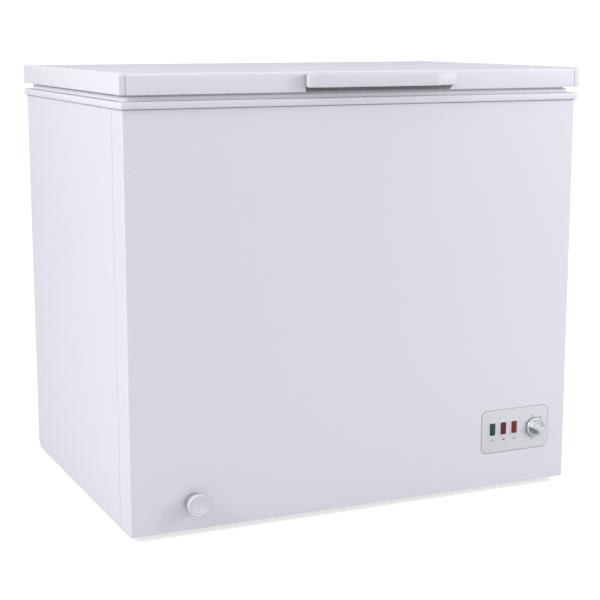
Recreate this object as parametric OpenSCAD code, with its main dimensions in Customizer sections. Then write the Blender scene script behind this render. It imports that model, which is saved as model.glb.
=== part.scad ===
// Chest freezer: steel cabinet with a foamed wall, hinged lid, machine room at the right end.
// Millimetres. X runs left to right seen from the front, Y front to back, Z up from the floor.
// The origin is on the floor under the middle of the whole freezer's outline.

/* [Cabinet] */
// Width across the side sheets
body_w = 935; // [760:5:1150]
// Depth from the front sheet to the back sheet
body_d = 665; // [540:5:800]
// Height from the floor to the top of the lid
total_h = 850; // [700:5:1020]
// Height of the sheets' lower edge above the floor
base_clear = 12; // [10:1:20]
// Thickness of the outer steel sheets
sheet_t = 0.8; // [0.6:0.1:1.2]
// Radius of the upright corners
corner_r = 3; // [2:0.5:8]
// Depth of the front sheet's return round each side
front_return = 61; // [30:1:90]
// Width of the back sheet's return round each side
back_return = 10; // [6:1:30]
// Gap between two neighbouring sheets
seam_gap = 0.5; // [0.2:0.1:1]

/* [Inner liner and insulation] */
// Thickness of the insulated wall, from sheet face to liner face
wall_t = 62; // [50:1:80]
// Thickness of the liner
liner_t = 1; // [0.8:0.1:2]
// Radius of the liner's upright corners
liner_r = 25; // [10:1:40]
// Thickness of the floor and step insulation, liner included
floor_t = 55; // [45:1:70]
// Height of the base pan above the floor
pan_z = 44; // [42:1:60]
// Thickness of the base pan
pan_t = 1; // [0.8:0.1:2]

/* [Machine room] */
// Clear width of the machine room
room_w = 225; // [205:1:275]
// Height of the machine room's ceiling above the floor
room_top = 250; // [235:1:300]

/* [Top trim] */
// How far the trim stands out past the sheets
trim_over = 6; // [3:0.5:10]
// Height of the trim's outer bead
trim_h = 13; // [8:1:20]
// Thickness of the trim's flat deck
deck_t = 3; // [2:0.5:5]
// Thickness of the lip that hangs inside the liner
lip_t = 2; // [1.5:0.5:3]
// Height of that lip
lip_h = 25; // [15:1:40]

/* [Lid] */
// Height of the lid's edge
lid_h = 38.5; // [32:0.5:60]
// Gap between the trim and the lid
lid_gap = 11.5; // [9:0.5:16]
// Radius of the folded sheet's front and back edges
lid_r = 6; // [3:0.5:12]
// Length of each plastic end cap
cap_w = 12.5; // [8:0.5:25]
// Wall of the end caps
cap_t = 2.5; // [2:0.5:4]
// How far the end caps' rim stands above the sheet
cap_rim = 1.5; // [0.5:0.5:3]
// Thickness of the lid's inner liner
lid_liner_t = 2; // [1.5:0.5:3]
// Sideways gap between the basket's frame and the lid liner's raised middle
dome_clear = 7; // [4:1:40]
// Gap between the basket's hooks and the underside of that raised middle
dome_air = 2.2; // [1:0.1:2.5]

/* [Lid gasket] */
// Inset of the gasket's outer edge from the sheets
gasket_inset = 9; // [5:1:14]
// Width of the magnetic foot
gasket_w = 18; // [12:1:22]
// Height of the magnetic foot
gasket_foot = 4.3; // [3:0.1:6]
// Width of the bellows above the foot
bellows_w = 9; // [6:1:12]
// Air left between the gasket and the trim
gasket_air = 0.2; // [0.1:0.1:0.5]

/* [Handle] */
// Overall length of the handle
handle_l = 317; // [200:1:400]
// Sideways offset of its middle from the lid's middle
handle_x = 33.5; // [-60:0.5:60]
// Height of the handle bar
handle_h = 24; // [16:1:28]
// How far the bar stands out from the lid
handle_out = 25; // [20:1:40]
// Thickness of the bar
handle_t = 10; // [7:0.5:14]
// Length of the solid left foot
handle_foot = 26; // [18:1:40]
// Length over which the right end sweeps back to the lid
handle_sweep = 50; // [30:1:70]
// Height of the bar's lower edge above the lid's lower edge
handle_rise = 8.5; // [5:0.5:12]
// Radius of the handle's round corner
handle_r = 6; // [3:0.5:10]

/* [Control panel] */
// Width of the control panel
panel_w = 156; // [140:1:180]
// Height of the control panel
panel_h = 87; // [70:1:110]
// Distance of its right edge from the right side sheet
panel_side = 40.5; // [30:0.5:50]
// Height of its lower edge above the floor
panel_z = 81; // [70:1:100]
// Radius of its corners
panel_r = 12; // [6:1:20]
// How far it stands out from the front sheet
panel_out = 1.2; // [0.8:0.1:3]
// Thickness of the flange behind the sheet
flange_t = 2; // [1.5:0.5:3]
// Width of that flange around the panel
flange_w = 6; // [4:1:10]

/* [Lamps] */
// Width of a lamp lens
lens_w = 12.3; // [10:0.1:16]
// Height of a lamp lens
lens_h = 24.5; // [18:0.5:30]
// Distance between lamp centres
lens_pitch = 25.5; // [22:0.5:30]
// Distance of the first lamp from the panel's left edge
lens_first = 24; // [18:0.5:30]
// Height of the lamps above the panel's lower edge
lens_z = 48.5; // [35:0.5:55]
// Width of the bezel around a lens
bezel_w = 3; // [2:0.5:4]
// How far a bezel stands out from the panel
bezel_out = 1.5; // [1:0.5:3]
// How far a lens stands out from the panel
lens_out = 2.2; // [1:0.1:4]
// Clearance around a lens in its slot
lens_clear = 0.2; // [0.1:0.1:0.5]

/* [Thermostat] */
// Distance of the knob's centre from the panel's right edge
dial_side = 32.5; // [28:0.5:45]
// Height of the knob's centre above the panel's lower edge
dial_z = 44; // [30:0.5:55]
// Diameter of the knob
dial_d = 40; // [30:1:44]
// Height of the knob's skirt
skirt_h = 6; // [4:0.5:10]
// Height of the grip ridge above the skirt
ridge_h = 10; // [6:0.5:14]
// Width of the grip ridge
ridge_w = 9; // [6:0.5:14]
// Angle of the ridge below the horizontal
ridge_turn = 26; // [0:1:300]
// Gap between the knob and the panel
dial_gap = 1; // [0.5:0.1:2]
// Diameter of the thermostat's shaft
shaft_d = 6; // [5:0.5:8]
// Radial clearance of turning and sliding fits
run_clear = 0.05; // [0.02:0.01:0.1]

/* [Drain] */
// Distance of the drain from the left side sheet
drain_side = 122.5; // [100:0.5:160]
// Height of the drain's axis above the floor
drain_z = 65; // [62:0.5:80]
// Diameter of the drain knob
drain_d = 41; // [34:1:48]
// Length of the drain knob
drain_l = 27.5; // [20:0.5:35]
// Gap between the drain knob and the front sheet
drain_gap = 0.5; // [0.3:0.1:1]
// Bore of the drain tube
tube_d = 18; // [14:1:20]
// Wall of the drain tube
tube_t = 2; // [1.5:0.5:3]
// Distance of the floor drain from the liner's front face
sump_y = 60; // [50:1:90]

/* [Feet and rollers] */
// Distance of the base rails' middle from the side sheets
rail_side = 90; // [70:1:105]
// Width of a base rail
rail_w = 44; // [40:1:60]
// Sheet thickness of a base rail
rail_t = 2; // [1.5:0.5:3]
// Distance of the feet from the front sheet
foot_y = 75; // [65:1:110]
// Diameter of a foot's pad
foot_d = 32; // [28:1:44]
// Thickness of a foot's pad
foot_t = 8; // [6:0.5:10]
// Diameter of a foot's threaded stud
stud_d = 10; // [8:1:12]
// Distance of the roller axles from the back sheet
roller_y = 75; // [55:1:110]
// Diameter of a roller
roller_d = 39; // [36:1:39]
// Width of a roller
roller_w = 26; // [16:1:30]
// Diameter of a roller's axle
axle_d = 8; // [6:1:10]

/* [Hinges] */
// Distance of each hinge from the lid's middle
hinge_x = 300; // [200:5:360]
// Distance of the hinge pins behind the back sheet
pin_y = 11; // [10.5:0.5:14]
// Height of the hinge pins above the trim
pin_z = 5; // [4:0.5:6]
// Diameter of a hinge pin
pin_d = 6; // [5:0.5:7]
// Width of a hinge bracket
bracket_w = 50; // [44:1:70]
// Height of a hinge bracket below the trim
bracket_h = 100; // [80:1:140]
// Sheet thickness of the hinges
hinge_t = 3; // [2:0.5:3.5]
// Depth of the hinge covers and the wall spacers behind the back sheet
rear_out = 22; // [20:1:30]

/* [Basket] */
// Width of the wire basket
basket_w = 230; // [180:5:300]
// Height of the wire basket
basket_h = 190; // [140:5:220]
// Distance between the basket and the trim's lip
basket_gap = 8; // [6:1:14]
// Thickness of the frame wires
frame_wire = 5; // [4:0.5:6]
// Thickness of the mesh wires
mesh_wire = 3; // [2:0.5:4]
// Greatest distance between mesh wires
mesh_pitch = 46; // [30:1:60]
// Length of the hooks that rest on the trim
hook_l = 22; // [18:1:24]
// Gap between the hooks and the trim
hook_air = 0.3; // [0.1:0.1:0.5]

/* [Hidden] */

$fn = 64;

// Colours
white_paint = [0.88, 0.88, 0.91];
white_plastic = [0.93, 0.93, 0.94];
steel = [0.7, 0.71, 0.73];
zinc = [0.62, 0.63, 0.66];
copper = [0.72, 0.43, 0.26];
black = [0.08, 0.08, 0.09];
foam_colour = [0.93, 0.87, 0.68];

// Outline of the whole freezer: the handle stands out in front, covers and spacers behind
front_out = trim_over + handle_out;
front_y = -(body_d + rear_out - front_out) / 2;
back_y = front_y + body_d;
mid_y = (front_y + back_y) / 2;
side_x = body_w / 2;

// Heights of the trim and the lid
trim_top = total_h - lid_h - lid_gap;
sheet_top = trim_top - trim_h;
foam_top = trim_top - deck_t;
lid_z = total_h - lid_h;
lid_side = side_x + trim_over;
lid_front = front_y - trim_over;

// Inside of the liner
liner_x = side_x - wall_t;
liner_front = front_y + wall_t;
liner_back = back_y - wall_t;
floor_z = pan_z + pan_t + floor_t;
room_x = side_x - sheet_t - room_w;
step_x = room_x - floor_t;
step_z = room_top + floor_t;

// Control panel, lamps and knob
panel_x = side_x - panel_side - panel_w / 2;
panel_mid_z = panel_z + panel_h / 2;
panel_front = front_y - panel_out;
flange_back = front_y + sheet_t + flange_t;
lamp_x0 = panel_x - panel_w / 2 + lens_first;
lamp_z = panel_z + lens_z;
lamp_depth = 12;
lens_r = 1;
bezel_r = 4;
bezel_tall = 3;
holder_rim = 8;
holder_l = 26;
dial_x = panel_x + panel_w / 2 - dial_side;
dial_mid_z = panel_z + dial_z;
thermostat_w = 38;
thermostat_h = 46;
thermostat_l = 32;
shaft_in = 14;
dial_bevel = 2.5;
ridge_bevel = 3;
probe_r = 1.2;
probe_bend = 14;

// Drain
drain_x = -side_x + drain_side;
sump_mid_y = liner_front + sump_y;
stem_l = 60;
stem_neck = 12;
collar_d = 34;
collar_l = 8;
drain_cap_h = 7;
drain_rim = 3;
drain_dish = 1.5;
plug_d = 34;
plug_t = 5;
plug_stem = 18;
plug_grip_d = 10;
plug_grip_h = 7;
plug_air = 0.3;

// Machine room
compressor_r = 76;
compressor_h = 150;
seam_h = 3;
seam_w = 4;
seam_z = 62;
shell_base = 34;
shell_rise = 55;
compressor_z = pan_z + 18;
compressor_x = (room_x + side_x - sheet_t) / 2;
compressor_y = back_y - 225;
mount_dx = 62;
mount_dy = 96;
mount_rim = 14;
plate_t = 2;
plate_flange = 20;
grommet_d = 22;
bolt_head_d = 15;
bolt_head_h = 6;
grommet_h = 10;
bolt_d = 8;
pipe_r = 2.5;
pipe_bend = 8;
pipe_in = 12;
suction_r = 4;
drier_x = room_x + 26;
drier_y = back_y - 60;
drier_z = pan_z + 50;
drier_l = 110;
drier_r = 10;
drier_neck = 8;
drier_cone = 10;
capillary_r = 1;

// Cooling tubes: turns of the condenser behind the sheets and of the evaporator on the liner
groove = 6;
coil_inset = sheet_t + groove / 2;
coil_bend = 12;
coil_pitch = 68;
coil_z0 = step_z + 30;
coil_end = 25;
coil_turns = floor((foam_top - coil_end - coil_z0) / coil_pitch) + 1;
coil_top = coil_z0 + (coil_turns - 1) * coil_pitch;
tail_z = room_top - 12;
evap_inset = wall_t - liner_t - groove / 2;
evap_bend = liner_r + liner_t + groove / 2;
hot_tail_y = back_y - 60;
cold_tail_y = back_y - 100;
riser_w = 96;
probe_x = room_x + 12;
probe_y = back_y - 300;

// Feet and rollers
rail_x = side_x - rail_side;
foot_mid_y = front_y + foot_y;
roller_mid_y = back_y - roller_y;
rail_end = 20;
nut_h = 10;
nut_d = 17;
boss_d = 20;

// Hinges
pin_mid_y = back_y + pin_y;
pin_mid_z = trim_top + pin_z;
knuckle_r = 6.3;
leaf_w = 40;
leaf_t = 2.2;
knuckle_w = 24;
screw_d = 4;
spring_z = sheet_top - bracket_h + 12;
spring_l = bracket_h - 36;
spring_d = 13;
spring_wire = 2;
seat_t = 3;
seat_d = 17;
ear_x = knuckle_w / 2 + 0.5;

// Basket
lip_front = liner_front + lip_t;
lip_back = liner_back - lip_t;
basket_x0 = -liner_x + lip_t + basket_gap;
basket_y0 = lip_front + basket_gap;
basket_y1 = lip_back - basket_gap;
basket_top = trim_top - 18;
basket_z0 = basket_top - basket_h;
hook_in = 30;
hook_mid_z = trim_top + hook_air + frame_wire / 2;

// Raised middle of the lid's liner, which clears the basket and its hooks
dome_inset = wall_t + lip_t + basket_gap + frame_wire + dome_clear;
dome_z = trim_top + hook_air + frame_wire + dome_air;
dome_r = 20;

// ---- Shapes used by several parts ----

module box(low, high) translate(low) cube(high - low);

module round_rect(w, d, r) {
    square([w - 2 * r, d], center = true);
    square([w, d - 2 * r], center = true);
    for (sx = [-1, 1], sy = [-1, 1]) translate([sx * (w / 2 - r), sy * (d / 2 - r)]) circle(r);
}

// Upright block with the cabinet's plan, its faces moved inwards by inset
module column(inset, r, z0, z1)
    translate([0, mid_y, z0]) linear_extrude(z1 - z0) round_rect(body_w - 2 * inset, body_d - 2 * inset, r);

// Band between two such blocks
module band(out_inset, out_r, in_inset, in_r, z0, z1) difference() {
    column(out_inset, out_r, z0, z1);
    column(in_inset, in_r, z0 - 1, z1 + 1);
}

// Extrudes a YZ outline along X
module along_x(x0, x1) translate([x0, 0, 0]) rotate([90, 0, 90]) linear_extrude(x1 - x0) children();

// Places a shape so that its own Z points out of the front
module to_front(x, y, z) translate([x, y, z]) rotate([90, 0, 0]) children();

// Rounded plate in the XZ plane between two Y values
module front_plate(w, h, r, x, z, y0, y1) to_front(x, y1, z) linear_extrude(y1 - y0) round_rect(w, h, r);

function unit(v) = v / norm(v);

// Arc in place of the corner b of the line a-b-c, starting r before the corner
function corner_arc(a, b, c, r, steps) =
    let (d = unit(b - a), e = unit(c - b), turn = acos(d * e), n = unit(e - d * (d * e)),
         big = r / tan(turn / 2))
    [for (k = [0:steps]) let (t = turn * k / steps)
        b - d * r + d * big * sin(t) + n * big * (1 - cos(t))];

// A path with each inner corner rounded
function bent(path, r, steps = 4) = [
    for (i = [0:len(path) - 1])
        if (i == 0 || i == len(path) - 1) path[i]
        else each corner_arc(path[i - 1], path[i], path[i + 1], r, steps)];

// Mitre plane's normal at point i of a path
function mitre(path, i) =
    i == 0 ? unit(path[1] - path[0])
    : i == len(path) - 1 ? unit(path[i] - path[i - 1])
    : unit(unit(path[i] - path[i - 1]) + unit(path[i + 1] - path[i]));

// Slides every point of a ring along the path until it meets the next mitre plane
function carry(ring, dir, at, n) = [for (p = ring) p + dir * (((at - p) * n) / (dir * n))];

function rings(path, ring, i, done) =
    i == len(path) ? done
    : let (next = carry(ring, unit(path[i] - path[i - 1]), path[i], mitre(path, i)))
        rings(path, next, i + 1, concat(done, [next]));

function first_ring(path, r, sides) =
    let (d = unit(path[1] - path[0]), u = unit(cross(d, abs(d[2]) > 0.9 ? [1, 0, 0] : [0, 0, 1])),
         v = cross(d, u))
    [for (k = [0:sides - 1]) path[0] + u * r * cos(360 * k / sides) + v * r * sin(360 * k / sides)];

// Tube of constant radius along a list of points
module tube(path, r, sides = 8) {
    start = first_ring(path, r, sides);
    all = rings(path, start, 1, [start]);
    n = len(path);
    polyhedron(
        points = [for (ring = all) each ring],
        faces = concat(
            [[for (k = [0:sides - 1]) k]],
            [for (i = [0:n - 2], k = [0:sides - 1]) let (a = i * sides, b = a + sides, m = (k + 1) % sides)
                [a + k, b + k, b + m, a + m]],
            [[for (k = [sides - 1:-1:0]) (n - 1) * sides + k]]));
}

// ---- Cabinet ----

module within_sheets() intersection() {
    children();
    column(sheet_t, corner_r - sheet_t, 0, total_h);
}

module outer_shell(z0) band(0, corner_r, sheet_t, corner_r - sheet_t, z0, foam_top);

module front_panel() color(white_paint) difference() {
    intersection() {
        outer_shell(base_clear);
        box([-body_w, front_y - 1, 0], [body_w, front_y + front_return, total_h]);
    }
    front_plate(panel_w + 1, panel_h + 1, panel_r + 0.5, panel_x, panel_mid_z, front_y - 1, front_y + 2);
    to_front(drain_x, front_y + 2, drain_z) cylinder(d = collar_d, h = 4);
}

module side_sheet() intersection() {
    outer_shell(base_clear);
    box([side_x - 2, front_y + front_return + seam_gap, 0],
        [body_w, back_y - back_return - seam_gap, total_h]);
}

module left_side_panel() color(white_paint) mirror([1, 0, 0]) side_sheet();

grille_y0 = front_y + 190;
grille_y1 = back_y - 120;
grille_z0 = pan_z + 30;
grille_z1 = room_top - 20;

module right_side_panel() color(white_paint) difference() {
    side_sheet();
    box([side_x - 3, grille_y0, grille_z0], [side_x + 1, grille_y1, grille_z1]);
}

hatch_x0 = room_x + 20;
hatch_x1 = side_x - 20;
hatch_z0 = pan_z + 12;
hatch_z1 = room_top - 14;

module back_panel() color(white_paint) difference() {
    intersection() {
        outer_shell(base_clear + back_return);
        box([-body_w, back_y - back_return, 0], [body_w, back_y + 1, total_h]);
    }
    box([hatch_x0, back_y - 5, hatch_z0], [hatch_x1, back_y + 1, hatch_z1]);
}

// Folded sheet: floor of the insulation, wall of the machine room and its ceiling
module base_pan() color(zinc) difference() {
    x0 = -side_x + sheet_t;
    y0 = front_y + sheet_t;
    y1 = back_y - sheet_t;
    within_sheets() union() {
        box([x0, y0, pan_z], [room_x, y1, pan_z + pan_t]);
        box([room_x - pan_t, y0, pan_z], [room_x, y1, room_top + pan_t]);
        box([room_x - pan_t, y0, room_top], [side_x - sheet_t, y1, room_top + pan_t]);
        box([x0, y0, base_clear + 2], [room_x, y0 + pan_t, pan_z + pan_t]);
        box([x0, y1 - pan_t, base_clear + 12], [room_x, y1, pan_z + pan_t]);
    }
    for (at = [[side_x - coil_inset, hot_tail_y], [side_x - evap_inset, cold_tail_y], [probe_x, probe_y]])
        translate([at[0], at[1], room_top - 1]) cylinder(d = 2 * pipe_r + 0.5, h = pan_t + 2);
}

// Channel open downwards, with a threaded boss for the foot and two holes for the axle
module base_rail(x) difference() {
    union() {
        difference() {
            box([x - rail_w / 2, front_y + rail_end, base_clear + 2],
                [x + rail_w / 2, back_y - rail_end, pan_z]);
            box([x - rail_w / 2 + rail_t, front_y, 0], [x + rail_w / 2 - rail_t, back_y, pan_z - rail_t]);
        }
        translate([x, foot_mid_y, foot_t + nut_h]) cylinder(d = boss_d, h = pan_z - foot_t - nut_h);
    }
    translate([x, foot_mid_y, 0]) cylinder(d = stud_d + 2 * run_clear, h = pan_z + 1);
    translate([x - rail_w, roller_mid_y, roller_d / 2]) rotate([0, 90, 0])
        cylinder(d = axle_d, h = 2 * rail_w);
}

module base_rails() color(zinc) for (side = [-1, 1]) base_rail(side * rail_x);

function coil_path(inset, tail_y, tail_z) =
    let (x = side_x - inset, y0 = front_y + inset, y1 = back_y - inset)
    concat(
        [[x, tail_y, tail_z], [x, tail_y, coil_z0]],
        [for (i = [0:coil_turns - 1]) let (z = coil_z0 + i * coil_pitch)
            each concat(i == 0 ? [] : [[riser_w / 6, y1, z], [x, y1, z]],
                [[x, y0, z], [-x, y0, z], [-x, y1, z]],
                i < coil_turns - 1 ? [[-riser_w / 6, y1, z]] : [])],
        [[-riser_w / 6, y1, coil_top]]);

module condenser_coil() color(copper)
    tube(bent(coil_path(coil_inset, hot_tail_y, tail_z), coil_bend, 4), pipe_r, 6);

module evaporator_coil() color(steel)
    tube(bent(coil_path(evap_inset, cold_tail_y, tail_z), evap_bend, 5), pipe_r, 6);

module liner_cavity(grow) {
    r = liner_r + grow;
    column(wall_t - grow, r, step_z - grow, foam_top + 1);
    intersection() {
        column(wall_t - grow, r, floor_z - grow, foam_top + 1);
        box([-body_w, front_y, 0], [step_x + grow, back_y, step_z + 2]);
    }
}

module insulation() color(foam_colour) difference() {
    column(sheet_t, corner_r - sheet_t, pan_z + pan_t, foam_top);
    liner_cavity(liner_t);
    box([room_x - pan_t, front_y - 1, 0], [side_x + 1, back_y + 1, room_top + pan_t]);
    for (i = [0:coil_turns - 1]) {
        z = coil_z0 + i * coil_pitch - groove / 2;
        band(0, corner_r, sheet_t + groove, coil_bend - groove / 2, z, z + groove);
        band(wall_t - liner_t - groove, evap_bend + groove / 2, wall_t, liner_r, z, z + groove);
    }
    box([-riser_w / 2, back_y - sheet_t - groove, coil_z0], [riser_w / 2, back_y, coil_top]);
    box([-riser_w / 2, liner_back, coil_z0], [riser_w / 2, liner_back + liner_t + groove, coil_top]);
    box([side_x - sheet_t - groove, hot_tail_y - coil_bend, room_top],
        [side_x, hot_tail_y + groove / 2, coil_z0 + groove / 2]);
    box([liner_x, cold_tail_y - evap_bend, room_top],
        [liner_x + liner_t + groove, cold_tail_y + groove / 2, coil_z0 + groove / 2]);
    translate([probe_x, probe_y, room_top]) cylinder(d = groove, h = floor_t - 12);
    drain_way(tube_d / 2 + tube_t);
    to_front(drain_x, front_y + collar_l, drain_z) cylinder(d = collar_d, h = collar_l + 1);
}

module inner_liner() color([0.9, 0.91, 0.93]) difference() {
    intersection() {
        liner_cavity(liner_t);
        box([-body_w, front_y, 0], [body_w, back_y, foam_top]);
    }
    liner_cavity(0);
    translate([drain_x, sump_mid_y, pan_z]) cylinder(d = tube_d, h = floor_t + 10);
}

module top_trim() color(white_plastic) {
    band(-trim_over, corner_r + trim_over, 0, corner_r, sheet_top, trim_top);
    band(0, corner_r, wall_t + lip_t, liner_r - lip_t, foam_top, trim_top);
    band(wall_t, liner_r, wall_t + lip_t, liner_r - lip_t, trim_top - lip_h, trim_top);
}

// ---- Control panel, lamps and thermostat ----

function lamp_x(i) = lamp_x0 + i * lens_pitch;

module control_panel() color(white_plastic) difference() {
    union() {
        front_plate(panel_w, panel_h, panel_r, panel_x, panel_mid_z, panel_front, front_y + sheet_t + 0.2);
        front_plate(panel_w + 2 * flange_w, panel_h + 2 * flange_w, panel_r, panel_x, panel_mid_z,
            front_y + sheet_t, flange_back);
    }
    for (i = [0:2]) front_plate(lens_w + 2 * lens_clear, lens_h + 2 * lens_clear, lens_r, lamp_x(i), lamp_z,
        panel_front - 1, flange_back + 1);
    to_front(dial_x, flange_back + 1, dial_mid_z) cylinder(d = shaft_d + 3, h = 10);
}

module lamp_bezels() color(white_plastic) for (i = [0:2]) difference() {
    front_plate(lens_w + 2 * bezel_w, lens_h + 2 * bezel_w + bezel_tall, bezel_r, lamp_x(i), lamp_z,
        panel_front - bezel_out, panel_front);
    front_plate(lens_w + 2 * lens_clear, lens_h + 2 * lens_clear, lens_r, lamp_x(i), lamp_z, panel_front - 5,
        panel_front + 1);
}

module lamp_lens(i) front_plate(lens_w, lens_h, lens_r, lamp_x(i), lamp_z, panel_front - lens_out,
    flange_back + lamp_depth);

module green_lamp() color([0.1, 0.32, 0.22]) lamp_lens(0);

module left_red_lamp() color([0.42, 0.1, 0.14]) lamp_lens(1);

module right_red_lamp() color([0.5, 0.14, 0.15]) lamp_lens(2);

module lamp_holder() color(black) difference() {
    front_plate(2 * lens_pitch + lens_w + holder_rim, lens_h + holder_rim, 2, lamp_x(1), lamp_z,
        flange_back, flange_back + holder_l);
    for (i = [0:2]) front_plate(lens_w, lens_h, lens_r, lamp_x(i), lamp_z, flange_back - 1,
        flange_back + lamp_depth);
}

module thermostat() color([0.55, 0.56, 0.58]) difference() {
    front_plate(thermostat_w, thermostat_h, 2, dial_x, dial_mid_z, flange_back, flange_back + thermostat_l);
    to_front(dial_x, flange_back + shaft_in, dial_mid_z)
        cylinder(d = shaft_d + 2 * run_clear, h = shaft_in + 1);
}

module thermostat_shaft() color(steel)
    to_front(dial_x, flange_back + shaft_in - 0.5, dial_mid_z)
        cylinder(d = shaft_d, h = shaft_in - 0.5 + flange_back - panel_front + dial_gap + skirt_h);

module thermostat_knob() color([0.78, 0.8, 0.82])
    to_front(dial_x, panel_front - dial_gap, dial_mid_z) difference() {
        r = dial_d / 2;
        top = skirt_h + ridge_h;
        union() {
            rotate_extrude() polygon([[0, 0], [r, 0], [r, skirt_h - dial_bevel], [r - dial_bevel, skirt_h],
                [0, skirt_h]]);
            intersection() {
                rotate(-ridge_turn) translate([-r, -ridge_w / 2, skirt_h - 1])
                    cube([2 * r, ridge_w, ridge_h + 1]);
                rotate_extrude() polygon([[0, 0], [r - dial_bevel, 0], [r - dial_bevel, top - ridge_bevel],
                    [r - dial_bevel - ridge_bevel, top], [0, top]]);
            }
        }
        translate([0, 0, -1]) cylinder(d = shaft_d, h = skirt_h + 1);
    }

// Sensing tube from the thermostat to a pocket in the foam under the step
module thermostat_probe() color(copper) {
    y0 = flange_back + thermostat_l;
    tube(bent([[dial_x, y0, dial_mid_z + 10], [dial_x, y0 + 40, dial_mid_z + 10],
        [probe_x, y0 + 70, dial_mid_z + 40], [probe_x, probe_y, dial_mid_z + 60],
        [probe_x, probe_y, room_top + floor_t - 20]], probe_bend, 4), probe_r, 8);
}

// ---- Drain ----

module drain_way(r) {
    translate([drain_x, sump_mid_y, drain_z]) cylinder(r = r, h = floor_z - liner_t - drain_z);
    to_front(drain_x, sump_mid_y + r, drain_z) cylinder(r = r, h = sump_mid_y + r - front_y - collar_l);
}

module drain_tube() color(white_plastic) difference() {
    drain_way(tube_d / 2 + tube_t);
    translate([drain_x, sump_mid_y, drain_z]) cylinder(d = tube_d, h = floor_t + 10);
    to_front(drain_x, sump_mid_y + tube_d / 2, drain_z) cylinder(d = tube_d, h = 2 * wall_t + sump_y + 20);
}

module drain_collar() color(white_plastic) difference() {
    to_front(drain_x, front_y + collar_l, drain_z) cylinder(d = collar_d, h = collar_l);
    to_front(drain_x, front_y + collar_l + 1, drain_z) cylinder(d = tube_d, h = collar_l + 2);
}

// Hollow stem that slides out of the drain tube, with a narrower neck for the knob
module drain_stem() color([0.35, 0.36, 0.38]) difference() {
    union() {
        to_front(drain_x, front_y + stem_l, drain_z) cylinder(d = tube_d - 2 * run_clear, h = stem_l);
        to_front(drain_x, front_y + 1, drain_z) cylinder(d = stem_neck, h = 1 + drain_gap + drain_l - 8);
    }
    to_front(drain_x, front_y + stem_l + 1, drain_z) cylinder(d = 8, h = stem_l + 1 + drain_l - 10);
}

module drain_knob() color(white_plastic)
    to_front(drain_x, front_y - drain_gap, drain_z) difference() {
        r = drain_d / 2;
        z = drain_l - drain_cap_h;
        rotate_extrude() polygon([[0, 0], [r - 1, 0], [r - 1, z], [r, z], [r, drain_l],
            [r - drain_rim, drain_l], [r - drain_rim, drain_l - drain_dish], [0, drain_l - drain_dish]]);
        translate([0, 0, -1]) cylinder(d = stem_neck + 2 * run_clear, h = drain_l - 6);
        translate([0, 0, -1]) difference() {
            cylinder(r = r - 4, h = drain_l - 6);
            translate([0, 0, -1]) cylinder(d = stem_neck + 7, h = drain_l);
        }
    }

module floor_drain_plug() color(white_plastic) translate([drain_x, sump_mid_y, floor_z + plug_air]) {
    cylinder(d = plug_d, h = plug_t);
    translate([0, 0, -plug_stem]) cylinder(d = tube_d - 1, h = plug_stem + 1);
    translate([0, 0, plug_t - 1]) cylinder(d = plug_grip_d, h = plug_grip_h + 1);
}

// ---- Machine room ----

module compressor() color(black) {
    r = compressor_r;
    difference() {
        union() {
            translate([compressor_x, compressor_y, compressor_z]) rotate_extrude($fn = 96) polygon(concat(
                [for (a = [0:15:75]) [r * sin(a), shell_base * (1 - cos(a))]],
                [[r, shell_base], [r, seam_z], [r + seam_h, seam_z], [r + seam_h, seam_z + seam_w],
                    [r, seam_z + seam_w]],
                [for (a = [0:10:80]) [r * cos(a), compressor_h - shell_rise * (1 - sin(a))]],
                [[0, compressor_h]]));
            box([compressor_x - mount_dx - mount_rim, compressor_y - mount_dy - mount_rim,
                    pan_z + plate_t + grommet_h],
                [compressor_x + mount_dx + mount_rim, compressor_y + mount_dy + mount_rim, compressor_z + 1]);
        }
        at_mounts() cylinder(d = bolt_d, h = room_top);
    }
}

module at_mounts() for (sx = [-1, 1], sy = [-1, 1])
    translate([compressor_x + sx * mount_dx, compressor_y + sy * mount_dy, 0]) children();

module compressor_plate() color(zinc) difference() {
    within_sheets() union() {
        box([room_x, front_y + sheet_t, pan_z], [side_x - sheet_t, back_y - sheet_t, pan_z + plate_t]);
        box([room_x, front_y + sheet_t, pan_z], [room_x + plate_t, back_y - sheet_t, pan_z + plate_flange]);
    }
    at_mounts() cylinder(d = bolt_d, h = room_top);
}

module compressor_grommets() color(black) at_mounts() translate([0, 0, pan_z + plate_t]) difference() {
    cylinder(d = grommet_d, h = grommet_h);
    translate([0, 0, -1]) cylinder(d = bolt_d, h = grommet_h + 2);
}

module compressor_bolts() color(zinc) at_mounts() {
    translate([0, 0, pan_z]) cylinder(d = bolt_d, h = compressor_z + 1 - pan_z);
    translate([0, 0, compressor_z + 1]) cylinder(d = bolt_head_d, h = bolt_head_h, $fn = 6);
}

module start_relay() color([0.2, 0.2, 0.22]) {
    y1 = compressor_y - compressor_r - seam_h;
    y0 = y1 - 36;
    w = 24;
    z0 = compressor_z + 36;
    z1 = compressor_z + 90;
    box([compressor_x - w, y0, z0], [compressor_x + w, y1, z1]);
    box([compressor_x - w + 10, y0 - 12, z0 + 6], [compressor_x + w - 10, y0, z1 - 6]);
}

module filter_drier() color(copper) translate([drier_x, drier_y, drier_z]) rotate_extrude()
    polygon([[0, 0], [pipe_r, 0], [pipe_r, drier_neck], [drier_r, drier_neck + drier_cone],
        [drier_r, drier_l - drier_neck - drier_cone], [pipe_r, drier_l - drier_neck], [pipe_r, drier_l],
        [0, drier_l]]);

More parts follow.
